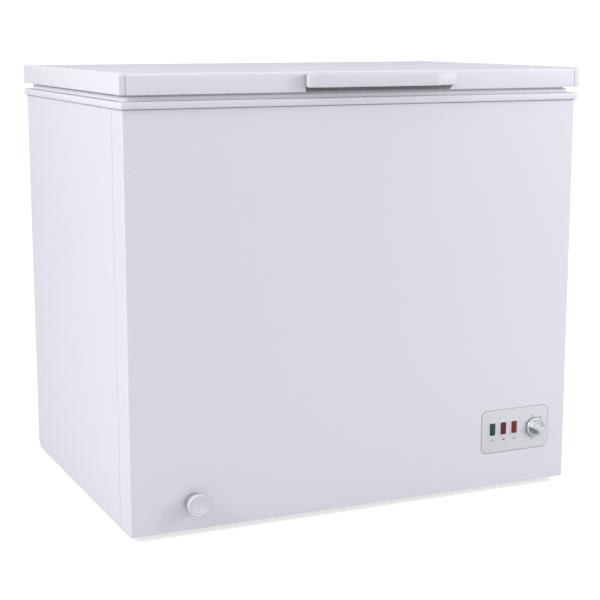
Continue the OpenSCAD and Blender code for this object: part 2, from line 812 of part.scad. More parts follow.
// The compressor's hot outlet to the condenser's tail
module discharge_line() color(copper) {
    x = side_x - coil_inset;
    dx = 20;
    dy = 40;
    z = room_top - 24;
    tube(bent([[compressor_x + dx, compressor_y + dy, dome_top(dx, dy) - pipe_in],
        [compressor_x + dx, compressor_y + dy, z], [compressor_x + dx, hot_tail_y, z], [x, hot_tail_y, z],
        [x, hot_tail_y, tail_z]], pipe_bend, 4), pipe_r, 8);
}

// Height of the compressor's domed top at a distance from its middle
function dome_top(dx, dy) = compressor_z + compressor_h
    + shell_rise * (sqrt(1 - (dx * dx + dy * dy) / (compressor_r * compressor_r)) - 1);

// From the evaporator's tail back to the compressor
module suction_line() color(copper) {
    x = side_x - evap_inset;
    z = room_top - 28;
    dx = 45;
    dy = 20;
    tube(bent([[x, cold_tail_y, tail_z], [x, cold_tail_y, z], [compressor_x + dx, compressor_y + dy, z],
        [compressor_x + dx, compressor_y + dy, dome_top(dx, dy) - pipe_in]], pipe_bend, 4), pipe_r, 8);
}

// Thin tube from the filter drier, with three loops, up to the foam
module capillary_tube() color(copper) {
    r = 18;
    turns = 3;
    steps = 14;
    z = drier_z + drier_l;
    tube(concat([[drier_x, drier_y, z], [drier_x, drier_y, z + 8]],
        [for (i = [0:turns * steps]) let (a = 360 * i / steps)
            [drier_x + r - r * cos(a), drier_y - r * sin(a), z + 16 + 5 * i / steps]],
        [[drier_x, drier_y, room_top - 10], [drier_x, drier_y, room_top - 1]]), capillary_r, 6);
}

module side_grille() color(white_plastic) {
    x0 = side_x - 3;
    x1 = side_x + 1.5;
    rim = 6;
    air = 0.3;
    slats = 10;
    pitch = (grille_z1 - grille_z0 - 2 * rim) / slats;
    difference() {
        union() {
            box([side_x, grille_y0 - rim, grille_z0 - rim], [x1, grille_y1 + rim, grille_z1 + rim]);
            box([x0, grille_y0 + air, grille_z0 + air], [side_x, grille_y1 - air, grille_z1 - air]);
        }
        box([x0 - 1, grille_y0 + rim, grille_z0 + rim], [x1 + 1, grille_y1 - rim, grille_z1 - rim]);
    }
    for (i = [0:slats - 1]) let (z = grille_z0 + rim + i * pitch)
        box([x0, grille_y0 + rim, z + pitch * 0.6], [x1 - 0.5, grille_y1 - rim, z + pitch]);
    for (i = [1:3]) let (y = grille_y0 + i * (grille_y1 - grille_y0) / 4)
        box([x0, y - 2, grille_z0 + rim], [side_x, y + 2, grille_z1 - rim]);
}

gland_x = hatch_x0 + 40;
gland_z = hatch_z0 + 30;
gland_d = 16;
cord_bore = 8;
gland_l = 16;
cover_t = 1.2;
screw_head_d = 8;

module rear_cover() color(zinc) difference() {
    rim = 8;
    slot_w = 68;
    slot_h = 5;
    box([hatch_x0 - rim, back_y, hatch_z0 - rim], [hatch_x1 + rim, back_y + cover_t, hatch_z1 + rim]);
    for (i = [0:6], j = [0:1]) let (z = hatch_z0 + 60 + i * 14, x = hatch_x0 + 16 + j * 84)
        box([x, back_y - 1, z], [x + slot_w, back_y + 2, z + slot_h]);
    translate([gland_x, back_y + 3, gland_z]) rotate([90, 0, 0]) cylinder(d = gland_d, h = 5);
    at_cover_screws() cylinder(d = screw_d, h = 4);
}

module at_cover_screws()
    for (x = [hatch_x0 - 4, hatch_x1 + 4], z = [hatch_z0 + 10, (hatch_z0 + hatch_z1) / 2, hatch_z1 - 10])
        translate([x, back_y - 1, z]) rotate([-90, 0, 0]) children();

module cover_screws() color(zinc) at_cover_screws() {
    translate([0, 0, 1]) cylinder(d = screw_d, h = 1.3);
    translate([0, 0, 1 + cover_t]) cylinder(d = screw_head_d, h = 1.8);
}

module cord_gland() color(black) translate([gland_x, back_y, gland_z]) rotate([-90, 0, 0]) difference() {
    union() {
        translate([0, 0, -6]) cylinder(d = gland_d, h = 8);
        translate([0, 0, cover_t]) cylinder(d = gland_d + 6, h = 3);
        translate([0, 0, 4]) cylinder(d = 13, h = gland_l - 10);
        translate([0, 0, -6]) cylinder(d = gland_d + 4, h = 5);
    }
    translate([0, 0, -7]) cylinder(d = cord_bore, h = gland_l + 2);
}

module wall_spacers() color(black) for (side = [-1, 1]) {
    x = side * (side_x - 60);
    w = 15;
    wall = 3;
    z0 = sheet_top - 120;
    z1 = sheet_top - 60;
    difference() {
        box([x - w, back_y, z0], [x + w, back_y + rear_out, z1]);
        box([x - w + wall, back_y - 1, z0 + wall], [x + w - wall, back_y + rear_out - wall, z1 - wall]);
    }
}

// ---- Hinges ----

module hinge_places() for (side = [-1, 1]) translate([side * hinge_x, 0, 0]) children();

// Side outline of a bracket's ear, in Y behind the back sheet and Z
module ear_outline() {
    translate([pin_mid_y, pin_mid_z]) circle(r = knuckle_r);
    polygon([[back_y, sheet_top - bracket_h], [back_y + 12, sheet_top - bracket_h + 10],
        [pin_mid_y + knuckle_r, sheet_top - 40], [pin_mid_y + knuckle_r, pin_mid_z],
        [back_y + trim_over + 0.4, pin_mid_z], [back_y + trim_over + 0.4, sheet_top - 1],
        [back_y, sheet_top - 1]]);
}

module bracket_screw_places() for (sx = [-1, 1], dz = [10, bracket_h - 16])
    translate([sx * (bracket_w / 2 - 6), back_y + hinge_t, sheet_top - bracket_h + dz]) rotate([-90, 0, 0])
        children();

module hinge_brackets() color(zinc) hinge_places() difference() {
    union() {
        box([-bracket_w / 2, back_y, sheet_top - bracket_h],
            [bracket_w / 2, back_y + hinge_t, sheet_top - 1]);
        for (x = [-ear_x - hinge_t, ear_x]) along_x(x, x + hinge_t) ear_outline();
        for (z = [spring_z - seat_t, spring_z + spring_l])
            box([-ear_x, back_y, z], [ear_x, back_y + seat_d, z + seat_t]);
    }
    translate([-bracket_w, pin_mid_y, pin_mid_z]) rotate([0, 90, 0])
        cylinder(d = pin_d, h = 2 * bracket_w);
    bracket_screw_places() translate([0, 0, -hinge_t - 1]) cylinder(d = screw_d, h = 2 * hinge_t + 2);
}

pin_l = knuckle_w + 2 * hinge_t + 5;

module hinge_pins() color(steel) hinge_places()
    translate([-pin_l / 2, pin_mid_y, pin_mid_z]) rotate([0, 90, 0]) {
        cylinder(d = pin_d, h = pin_l);
        translate([0, 0, -1.5]) cylinder(d = pin_d + 4, h = 2);
    }

module hinge_springs() color(steel) hinge_places()
    translate([0, back_y + hinge_t + 1 + spring_d / 2, spring_z]) difference() {
        cylinder(d = spring_d, h = spring_l);
        translate([0, 0, -1]) cylinder(d = spring_d - 2 * spring_wire, h = spring_l + 2);
    }

cover_w = bracket_w + 4;
cover_wall = 1.8;

module hinge_covers() color(white_plastic) hinge_places() difference() {
    box([-cover_w / 2, back_y, sheet_top - bracket_h - 2], [cover_w / 2, back_y + rear_out, sheet_top - 4]);
    box([-cover_w / 2 + cover_wall, back_y - 1, sheet_top - bracket_h - 2 + cover_wall],
        [cover_w / 2 - cover_wall, back_y + rear_out - cover_wall, sheet_top - 3]);
}

leaf_z0 = lid_z + 0.5;
leaf_z1 = total_h - lid_r - cap_rim - 2;

module leaf_screw_places() for (sx = [-1, 1]) translate([sx * 13, 0, (leaf_z0 + leaf_z1) / 2 + 3]) children();

module hinge_leaves() color(zinc) hinge_places() difference() {
    union() {
        box([-leaf_w / 2, back_y, leaf_z0], [leaf_w / 2, back_y + leaf_t, leaf_z1]);
        along_x(-knuckle_w / 2, knuckle_w / 2) union() {
            translate([pin_mid_y, pin_mid_z]) circle(r = knuckle_r);
            polygon([[back_y + 0.5, leaf_z0], [pin_mid_y, pin_mid_z], [pin_mid_y + 3, pin_mid_z + 5],
                [back_y + leaf_t, leaf_z0 + 15], [back_y + 0.5, leaf_z0 + 15]]);
        }
    }
    translate([-leaf_w, pin_mid_y, pin_mid_z]) rotate([0, 90, 0])
        cylinder(d = pin_d + 2 * run_clear, h = 2 * leaf_w);
}

// ---- Lid ----

// YZ outline of the lid, moved inwards by inset, its top lowered by drop
module lid_outline(inset, drop, r) {
    y0 = lid_front + inset;
    y1 = back_y - inset;
    z1 = total_h - drop - inset;
    translate([y0, lid_z - 1]) square([y1 - y0, z1 - r - lid_z + 1]);
    translate([y0 + r, lid_z - 1]) square([y1 - y0 - 2 * r, z1 - lid_z + 1]);
    for (y = [y0 + r, y1 - r]) translate([y, z1 - r]) circle(r);
}

module above_lid_edge() intersection() {
    children();
    box([-2 * body_w, -2 * body_d, lid_z], [2 * body_w, 2 * body_d, 2 * total_h]);
}

module lid_outer_panel() color(white_paint) difference() {
    above_lid_edge() difference() {
        along_x(-lid_side + cap_w, lid_side - cap_w) lid_outline(0, cap_rim, lid_r);
        along_x(-lid_side, lid_side) lid_outline(sheet_t, cap_rim, lid_r - sheet_t);
    }
    at_handle_screws() cylinder(d = screw_d, h = 10);
}

module lid_cap() above_lid_edge() difference() {
    along_x(lid_side - cap_w, lid_side) lid_outline(0, 0, lid_r + 2);
    along_x(lid_side - cap_w - 1, lid_side - cap_t) lid_outline(cap_t, 0, lid_r);
}

module lid_left_cap() color(white_plastic) mirror([1, 0, 0]) lid_cap();

module lid_right_cap() color(white_plastic) lid_cap();

// Foam that fills the sheet, the end caps and the liner's raised middle
module lid_insulation() color(foam_colour) difference() {
    union() {
        intersection() {
            union() {
                along_x(-lid_side + cap_w, lid_side - cap_w) lid_outline(sheet_t, cap_rim, lid_r - sheet_t);
                along_x(-lid_side + cap_t, lid_side - cap_t) lid_outline(cap_t, 0, lid_r);
            }
            box([-body_w, -body_d, lid_z + lid_liner_t], [body_w, body_d, total_h]);
        }
        column(dome_inset + lid_liner_t, dome_r - lid_liner_t, dome_z + lid_liner_t, lid_z + lid_liner_t + 1);
    }
    at_handle_screws() cylinder(d = screw_d + 5, h = 10);
}

// Inner face of the lid: a flat rim that holds the gasket and a pan that hangs into the opening
module lid_liner() color(white_plastic) difference() {
    union() {
        box([-lid_side + cap_t, lid_front + cap_t, lid_z],
            [lid_side - cap_t, back_y - cap_t, lid_z + lid_liner_t]);
        column(dome_inset, dome_r, dome_z, lid_z + lid_liner_t);
    }
    column(dome_inset + lid_liner_t, dome_r - lid_liner_t, dome_z + lid_liner_t, lid_z + lid_liner_t + 1);
}

module lid_gasket() color([0.96, 0.96, 0.97]) {
    z0 = trim_top + gasket_air;
    inner = gasket_inset + gasket_w;
    side = (gasket_w - bellows_w) / 2;
    band(gasket_inset, 10, inner, 4, z0, z0 + gasket_foot);
    band(gasket_inset + side, 8, inner - side, 4, z0 + gasket_foot - 0.1, lid_z);
}

handle_z = lid_z + handle_rise;
handle_x0 = handle_x - handle_l / 2;
handle_x1 = handle_x + handle_l / 2;

// What rounding takes off a square corner at the origin
module corner_waste(r) difference() {
    translate([-1, -1]) square(r + 1);
    translate([r, r]) circle(r);
}

// Plan of the handle, with Y measured out from the lid
module handle_plan() {
    w = handle_out;
    tip = 2;
    right_foot = 24;
    difference() {
        polygon([[handle_x0, 0], [handle_x0, w], [handle_x1 - handle_sweep, w], [handle_x1, tip],
            [handle_x1, 0]]);
        polygon([[handle_x0 + handle_foot, -1], [handle_x0 + handle_foot, w - handle_t],
            [handle_x1 - handle_sweep - 8, w - handle_t], [handle_x1 - right_foot, -1]]);
        translate([handle_x0, w]) mirror([0, 1]) corner_waste(handle_r);
    }
}

module at_handle_screws() for (x = [handle_x0 + handle_foot / 2, handle_x1 - 12])
    to_front(x, lid_front + 5, handle_z + handle_h / 2) children();

module lid_handle() color(white_plastic) difference() {
    translate([0, lid_front, handle_z]) mirror([0, 1, 0]) linear_extrude(handle_h) handle_plan();
    at_handle_screws() cylinder(d = screw_d, h = 9);
}

module handle_screws() color(zinc) at_handle_screws() {
    translate([0, 0, 1.4]) cylinder(d = screw_d, h = 7.4);
    translate([0, 0, 1.4]) cylinder(d = screw_head_d, h = 2.8);
}

// ---- Basket ----

// Straight wire of square section between two points along one axis
module wire(a, b, t) translate([min(a[0], b[0]) - t / 2, min(a[1], b[1]) - t / 2, min(a[2], b[2]) - t / 2])
    cube([abs(a[0] - b[0]) + t, abs(a[1] - b[1]) + t, abs(a[2] - b[2]) + t]);

module wire_frame(z, t) {
    x0 = basket_x0 + t / 2;
    x1 = basket_x0 + basket_w - t / 2;
    y0 = basket_y0 + t / 2;
    y1 = basket_y1 - t / 2;
    wire([x0, y0, z], [x1, y0, z], t);
    wire([x0, y1, z], [x1, y1, z], t);
    wire([x0, y0, z], [x0, y1, z], t);
    wire([x1, y0, z], [x1, y1, z], t);
}

module wire_basket() color([0.9, 0.9, 0.9]) {
    t = mesh_wire;
    x0 = basket_x0 + t / 2;
    x1 = basket_x0 + basket_w - t / 2;
    y0 = basket_y0 + t / 2;
    y1 = basket_y1 - t / 2;
    nx = ceil(basket_w / mesh_pitch);
    ny = ceil((basket_y1 - basket_y0) / mesh_pitch);
    wire_frame(basket_top, frame_wire);
    for (k = [0:3]) wire_frame(basket_z0 + t / 2 + k * basket_h / 4, t);
    for (i = [0:nx]) let (x = x0 + i * (x1 - x0) / nx) {
        wire([x, y0, basket_z0 + t / 2], [x, y1, basket_z0 + t / 2], t);
        for (y = [y0, y1]) wire([x, y, basket_z0 + t / 2], [x, y, basket_top], t);
    }
    for (j = [1:ny - 1]) let (y = y0 + j * (y1 - y0) / ny) {
        wire([x0, y, basket_z0 + t / 2], [x1, y, basket_z0 + t / 2], t);
        for (x = [x0, x1]) wire([x, y, basket_z0 + t / 2], [x, y, basket_top], t);
    }
    h = frame_wire;
    for (x = [basket_x0 + hook_in, basket_x0 + basket_w - hook_in], end = [0, 1]) {
        y = end == 0 ? basket_y0 + h / 2 : basket_y1 - h / 2;
        out = end == 0 ? y - hook_l : y + hook_l;
        wire([x, y, basket_top], [x, y, hook_mid_z], h);
        wire([x, y, hook_mid_z], [x, out, hook_mid_z], h);
    }
    for (end = [0, 1]) {
        y = end == 0 ? basket_y0 + h / 2 - hook_l : basket_y1 - h / 2 + hook_l;
        wire([basket_x0 + hook_in, y, hook_mid_z], [basket_x0 + basket_w - hook_in, y, hook_mid_z], h);
    }
}

// ---- Feet and rollers ----

module foot(x) color(black) translate([x, foot_mid_y, 0]) {
    cylinder(d = foot_d, h = foot_t);
    translate([0, 0, foot_t - 0.5]) cylinder(d = nut_d, h = nut_h + 0.5, $fn = 6);
    cylinder(d = stud_d, h = pan_z - 1);
}

module left_foot() foot(-rail_x);

module right_foot() foot(rail_x);

module roller(x) color([0.16, 0.16, 0.17]) translate([x, roller_mid_y, roller_d / 2]) rotate([0, 90, 0])
    difference() {
        r = roller_d / 2;
        bevel = 2;
        translate([0, 0, -roller_w / 2]) rotate_extrude() polygon([[0, 0], [r - bevel, 0], [r, bevel],
            [r, roller_w - bevel], [r - bevel, roller_w], [0, roller_w]]);
        translate([0, 0, -roller_w]) cylinder(d = axle_d + 2 * run_clear, h = 2 * roller_w);
    }

module left_roller() roller(-rail_x);

module right_roller() roller(rail_x);

module roller_axles() color(steel) for (side = [-1, 1])
    translate([side * rail_x - rail_w / 2 - 3, roller_mid_y, roller_d / 2]) rotate([0, 90, 0])
        cylinder(d = axle_d, h = rail_w + 6);

front_panel();
left_side_panel();
right_side_panel();
back_panel();
base_pan();
base_rails();
insulation();
inner_liner();
top_trim();
control_panel();
lamp_bezels();
green_lamp();
left_red_lamp();
right_red_lamp();
lamp_holder();
thermostat();
thermostat_probe();
thermostat_shaft();
thermostat_knob();
drain_tube();
drain_collar();
drain_stem();
drain_knob();
floor_drain_plug();
compressor();
compressor_plate();
compressor_grommets();
compressor_bolts();
start_relay();
filter_drier();
discharge_line();
suction_line();
capillary_tube();
condenser_coil();
evaporator_coil();
side_grille();
rear_cover();
cover_screws();
cord_gland();
wall_spacers();
hinge_brackets();
hinge_pins();
hinge_springs();
hinge_covers();
hinge_leaves();
lid_outer_panel();
lid_left_cap();
lid_right_cap();
lid_insulation();
lid_liner();
lid_gasket();
lid_handle();
handle_screws();
wire_basket();
left_foot();
right_foot();
left_roller();
right_roller();
roller_axles();
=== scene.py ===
"""Looks of the chest freezer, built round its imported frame.

Lengths are metres in the frame's own axes: X to the right seen from the front,
Y from front to back and Z up from the floor.
"""

import logging
import math
from dataclasses import dataclass, field
from enum import Enum
from functools import cache
from typing import Iterable, Sequence

import bmesh
import bpy
import numpy as np
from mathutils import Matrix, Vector


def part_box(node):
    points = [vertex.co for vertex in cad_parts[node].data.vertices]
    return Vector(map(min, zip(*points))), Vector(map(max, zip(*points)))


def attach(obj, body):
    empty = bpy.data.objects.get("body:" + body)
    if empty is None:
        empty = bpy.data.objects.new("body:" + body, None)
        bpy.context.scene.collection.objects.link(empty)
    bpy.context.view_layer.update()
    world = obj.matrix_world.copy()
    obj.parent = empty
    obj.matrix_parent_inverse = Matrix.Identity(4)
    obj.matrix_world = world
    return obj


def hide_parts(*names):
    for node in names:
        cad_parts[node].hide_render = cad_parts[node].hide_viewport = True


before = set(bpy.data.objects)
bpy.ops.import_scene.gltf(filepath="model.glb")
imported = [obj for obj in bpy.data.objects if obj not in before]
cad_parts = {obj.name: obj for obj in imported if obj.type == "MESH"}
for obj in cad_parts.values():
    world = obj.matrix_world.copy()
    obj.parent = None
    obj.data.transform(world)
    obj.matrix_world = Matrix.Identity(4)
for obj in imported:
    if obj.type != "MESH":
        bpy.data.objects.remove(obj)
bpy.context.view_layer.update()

LOG = logging.getLogger("freezer")
SHARP = math.radians(32)
CORNER_STEPS = 8

Triple = tuple[float, float, float]


# ---------------------------------------------------------------- shapes


@dataclass(frozen=True)
class Ring:
    """Rounded rectangle in plan, at one height."""

    half_x: float
    half_y: float
    radius: float
    height: float
    middle_x: float = 0.0
    middle_y: float = 0.0


def ring_grid(rings: Sequence[Ring], steps: int = CORNER_STEPS) -> np.ndarray:
    """Points of stacked rounded rectangles.

    A point is its corner's centre plus the radius times (cos a, sin a), where a
    runs over the corner's quarter turn, and the corners follow each other.

    Args:
        rings: The rectangles, one for each row.
        steps: Points on each corner.

    Returns:
        An array of rows, 4 * steps columns and 3 coordinates.
    """
    hx, hy, radius, height, mx, my = np.array(
        [[r.half_x, r.half_y, r.radius, r.height, r.middle_x, r.middle_y] for r in rings]
    ).T[:, :, None]
    corner = np.repeat(np.arange(4), steps)
    angle = (corner + np.tile(np.linspace(0, 1, steps), 4)) * math.pi / 2
    side_x = np.array([1, -1, -1, 1])[corner]
    side_y = np.array([1, 1, -1, -1])[corner]
    x = mx + side_x * (hx - radius) + radius * np.cos(angle)
    y = my + side_y * (hy - radius) + radius * np.sin(angle)
    return np.stack([x, y, np.broadcast_to(height, x.shape)], axis=-1)


def rounded(corners: Sequence[Triple], steps: int = 6) -> np.ndarray:
    """Closed outline whose corners are arcs.

    Each corner (x, y, r) becomes an arc of radius r that touches both of its
    sides: its centre lies on the bisector, r / sin(half angle) away.

    Args:
        corners: Corner places and radii, in order round the outline.
        steps: Points on each arc.

    Returns:
        An array of len(corners) * steps points in two coordinates.
    """
    data = np.array(corners, float)
    place, radius = data[:, :2], np.maximum(data[:, 2], 1e-6)
    back = np.roll(place, 1, axis=0) - place
    ahead = np.roll(place, -1, axis=0) - place
    back /= np.linalg.norm(back, axis=1)[:, None]
    ahead /= np.linalg.norm(ahead, axis=1)[:, None]
    angle = np.arccos(np.clip((back * ahead).sum(1), -1, 1))
    middle = back + ahead
    middle /= np.maximum(np.linalg.norm(middle, axis=1), 1e-9)[:, None]
    centre = place + middle * (radius / np.sin(angle / 2))[:, None]
    start = place + back * (radius / np.tan(angle / 2))[:, None] - centre
    turn = np.sign(back[:, 0] * ahead[:, 1] - back[:, 1] * ahead[:, 0]) * (angle - math.pi)
    a = np.arctan2(start[:, 1], start[:, 0])[:, None] + turn[:, None] * np.linspace(0, 1, steps)
    arcs = centre[:, None] + radius[:, None, None] * np.stack([np.cos(a), np.sin(a)], -1)
    return arcs.reshape(-1, 2)


def bent_path(points: Sequence[Triple], radius: float, steps: int = 6) -> np.ndarray:
    """Open line through points, with every inner corner turned into an arc.

    Args:
        points: The line's corners in three coordinates.
        radius: Radius of the bends.
        steps: Points on each bend.

    Returns:
        The points of the line, as rows of three coordinates.
    """
    place = np.array(points, float)
    back = place[:-2] - place[1:-1]
    ahead = place[2:] - place[1:-1]
    back /= np.linalg.norm(back, axis=1)[:, None]
    ahead /= np.linalg.norm(ahead, axis=1)[:, None]
    half = np.arccos(np.clip((back * ahead).sum(1), -1, 1)) / 2
    middle = (back + ahead) / np.linalg.norm(back + ahead, axis=1)[:, None]
    centre = place[1:-1] + middle * (radius / np.sin(half))[:, None]
    start = place[1:-1] + back * (radius / np.tan(half))[:, None] - centre
    side = start - (start * middle).sum(1)[:, None] * middle
    across = side / np.linalg.norm(side, axis=1)[:, None]
    a = ((math.pi / 2 - half)[:, None] * np.linspace(1, -1, steps))[:, :, None]
    arcs = centre[:, None] + radius * (-middle[:, None] * np.cos(a) + across[:, None] * np.sin(a))
    return np.concatenate([place[:1], arcs.reshape(-1, 3), place[-1:]])


def turned(profile: np.ndarray, steps: int = 64) -> np.ndarray:
    """Surface of revolution round Z.

    Args:
        profile: Rows of radius and height.
        steps: Points round the axis.

    Returns:
        A grid of points: radius * (cos a, sin a) at each height.
    """
    a = np.linspace(0, 2 * math.pi, steps, endpoint=False)
    radius, height = profile[:, :1], profile[:, 1:]
    x, y = radius * np.cos(a), radius * np.sin(a)
    return np.stack([x, y, np.broadcast_to(height, x.shape)], -1)


def tube(path: np.ndarray, radius: float, sides: int = 10, closed: bool = False) -> np.ndarray:
    """Round bar along a path.

    At each point two directions across the path, u and v, come from cross
    products with one leaning direction, and the ring is the point plus
    radius * (u cos a + v sin a).

    Args:
        path: Rows of three coordinates.
        radius: Radius of the bar.
        sides: Points round the bar.
        closed: True for a path that returns to its start.

    Returns:
        A grid of points with one row for each point of the path.
    """
    if closed:
        along = np.roll(path, -1, axis=0) - np.roll(path, 1, axis=0)
    else:
        along = np.gradient(path, axis=0)
    along /= np.linalg.norm(along, axis=1)[:, None]
    u = np.cross(along, np.array([0.31, 0.53, 0.79]))
    u /= np.linalg.norm(u, axis=1)[:, None]
    v = np.cross(along, u)
    a = np.linspace(0, 2 * math.pi, sides, endpoint=False)[None, :, None]
    return path[:, None] + radius * (u[:, None] * np.cos(a) + v[:, None] * np.sin(a))


def facing_front(grid: np.ndarray, x: float, y: float, z: float) -> np.ndarray:
    """Turns a shape drawn in plan so that its Z points out of the front, and places it.

    Args:
        grid: Points in three coordinates, in any number of rows.
        x: Place of the shape's middle across.
        y: Depth of the shape's back.
        z: Place of the shape's middle up.

    Returns:
        The placed points, in the same rows.
    """
    return np.stack([x + grid[..., 0], y - grid[..., 2], z + grid[..., 1]], -1)


def along_x(outline: np.ndarray, x: float) -> np.ndarray:
    """Places a YZ outline at one X."""
    return np.concatenate([np.full((len(outline), 1), x), outline], axis=1)


def linked(name: str, data: bpy.types.ID) -> bpy.types.Object:
    """Makes an object that shows the data, and links it to the scene."""
    obj = bpy.data.objects.new(name, data)
    bpy.context.scene.collection.objects.link(obj)
    return obj


@dataclass
class Shape:
    """Points and faces of one piece, gathered surface by surface."""

    points: list[np.ndarray] = field(default_factory=list)
    faces: list[list[int]] = field(default_factory=list)
    count: int = 0

    def add(self, grid: np.ndarray, wrap: bool = False, caps: bool = True) -> "Shape":
        """Adds a grid whose columns close round.

        Args:
            grid: Rows, columns and three coordinates.
            wrap: True if the last row joins the first.
            caps: True if the first and last rows are closed by flat faces.

        Returns:
            The shape itself, so that calls chain.
        """
        rows, cols = grid.shape[:2]
        i, j = np.meshgrid(np.arange(rows if wrap else rows - 1), np.arange(cols), indexing="ij")
        down, right = (i + 1) % rows, (j + 1) % cols
        quads = np.stack([i * cols + j, i * cols + right, down * cols + right, down * cols + j], -1)
        self.faces += (quads.reshape(-1, 4) + self.count).tolist()
        if caps and not wrap:
            self.faces.append(list(range(self.count + cols - 1, self.count - 1, -1)))
            self.faces.append(list(range(self.count + (rows - 1) * cols, self.count + rows * cols)))
        self.points.append(grid.reshape(-1, 3))
        self.count += rows * cols
        return self

    def add_mesh(self, points: np.ndarray, faces: Iterable[Sequence[int]]) -> "Shape":
        """Adds ready points and faces.

        Args:
            points: Rows of three coordinates.
            faces: Indices into the points, one sequence for each face.

        Returns:
            The shape itself.
        """
        self.faces += [[self.count + k for k in face] for face in faces]
        self.points.append(points)
        self.count += len(points)
        return self

    def close_end(self, cols: int) -> "Shape":
        """Closes the last row of the last grid, of the given number of columns, by a flat face."""
        self.faces.append(list(range(self.count - cols, self.count)))
        return self

    def piece(self, name: str, sharp: float = SHARP) -> bpy.types.Object:
        """Makes the object, with doubles merged and faces turned outwards.

        Args:
            name: Name of the piece.
            sharp: Angle between faces past which an edge stays sharp.

        Returns:
            The new object, standing at the origin.
        """
        mesh = bpy.data.meshes.new(name)
        mesh.from_pydata(np.concatenate(self.points).tolist(), [], self.faces)
        work = bmesh.new()
        work.from_mesh(mesh)
        bmesh.ops.remove_doubles(work, verts=work.verts, dist=2e-6)
        bmesh.ops.recalc_face_normals(work, faces=work.faces)
        work.to_mesh(mesh)
        work.free()
        mesh.shade_smooth()
        mesh.set_sharp_from_angle(angle=sharp)
        return linked(name, mesh)


def softened_copy(node: str, name: str, width: float, segments: int = 2) -> bpy.types.Object:
    """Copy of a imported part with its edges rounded.

    The copy's triangles are merged and its flat faces dissolved, so that a
    bevel finds the real edges.

    Args:
        node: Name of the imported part.
        name: Name of the new piece.
        width: Width of the rounding.
        segments: Faces across the rounding.

    Returns:
        The new object.
    """
    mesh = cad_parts[node].data.copy()
    work = bmesh.new()
    work.from_mesh(mesh)
    bmesh.ops.remove_doubles(work, verts=work.verts, dist=1e-5)
    bmesh.ops.dissolve_limit(work, angle_limit=math.radians(1), verts=work.verts, edges=work.edges)
    work.to_mesh(mesh)
    work.free()
    mesh.materials.clear()
    mesh.shade_smooth()
    mesh.set_sharp_from_angle(angle=SHARP)
    obj = linked(name, mesh)
    bevel = obj.modifiers.new("Soft edges", "BEVEL")
    bevel.width = width
    bevel.segments = segments
    bevel.limit_method = "ANGLE"
    bevel.angle_limit = SHARP
    bevel.harden_normals = True
    return obj


# ---------------------------------------------------------------- shader effects


class Group:
    """Shader node group under construction, whose inputs and outputs are numbers."""

    def __init__(self, name: str, inputs: dict[str, float], outputs: Sequence[str]) -> None:
        """Begins the group.

        Args:
            name: Name of the group.
            inputs: Name and default value of each input.
            outputs: Names of the outputs.
        """
        self.tree = bpy.data.node_groups.new(name, "ShaderNodeTree")
        for label, value in inputs.items():
            socket = self.tree.interface.new_socket(label, in_out="INPUT", socket_type="NodeSocketFloat")
            socket.default_value = value
        for label in outputs:
            self.tree.interface.new_socket(label, in_out="OUTPUT", socket_type="NodeSocketFloat")
        self.given = self.node("GroupInput", "Node").outputs
        self.result = self.node("GroupOutput", "Node").inputs

    def node(self, kind: str, family: str = "ShaderNode") -> bpy.types.Node:
        """Adds a node, named by its family and its kind."""
        return self.tree.nodes.new(family + kind)

    def coordinates(self, kind: str = "Object") -> bpy.types.NodeSocket:
        """Texture coordinates of one kind."""
        return self.node("TexCoord").outputs[kind]

    def texture(self, kind: str, vector: bpy.types.NodeSocket | None = None,
                **settings: float) -> bpy.types.Node:
        """Adds a texture at the group's Scale.

        Args:
            kind: Kind of texture node.
            vector: Where it is read; Object coordinates if left out.
            settings: Values of its other inputs.

        Returns:
            The texture node.
        """
        texture = self.node(kind)
        for label, value in settings.items():
            texture.inputs[label].default_value = value
        self.tree.links.new(vector or self.coordinates(), texture.inputs["Vector"])
        self.tree.links.new(self.given["Scale"], texture.inputs["Scale"])
        return texture

    def math(self, operation: str, *values: float | bpy.types.NodeSocket, clamp: bool = False
             ) -> bpy.types.NodeSocket:
        """Adds a math node.

        Args:
            operation: What it does.
            values: Its inputs, each a socket or a number.
            clamp: True if the result is held between 0 and 1.

        Returns:
            The node's result.
        """
        node = self.node("Math")
        node.operation = operation
        node.use_clamp = clamp
        for slot, value in zip(node.inputs, values):
            if isinstance(value, bpy.types.NodeSocket):
                self.tree.links.new(value, slot)
            else:
                slot.default_value = value
        return node.outputs[0]

    def gives(self, **results: bpy.types.NodeSocket) -> bpy.types.NodeTree:
        """Links each result to the output of its name, and hands over the group."""
        for label, socket in results.items():
            self.tree.links.new(socket, self.result[label])
        return self.tree


@cache
def grain() -> bpy.types.NodeTree:
    """Fine relief of paint or moulded plastic.

    Height is noise of the given Scale times Depth, and Spread is the same noise
    at 0.03 of that scale, which varies the roughness.
    """
    group = Group("Grain", {"Scale": 600, "Depth": 1}, ("Height", "Spread"))
    fine = group.texture("TexNoise", Detail=2)
    coarse = group.texture("TexNoise", Detail=4, Roughness=0.6)
    group.tree.links.new(group.math("MULTIPLY", group.given["Scale"], 0.03), coarse.inputs["Scale"])
    return group.gives(Height=group.math("MULTIPLY", fine.outputs["Fac"], group.given["Depth"]),
                       Spread=coarse.outputs["Fac"])


@cache
def drift() -> bpy.types.NodeTree:
    """Slow change of tone over a large surface: noise round one half, times Amount."""
    group = Group("Tone drift", {"Scale": 3, "Amount": 1}, ("Mask",))
    noise = group.texture("TexNoise", Detail=3)
    return group.gives(Mask=group.math("MULTIPLY", noise.outputs["Fac"], group.given["Amount"]))


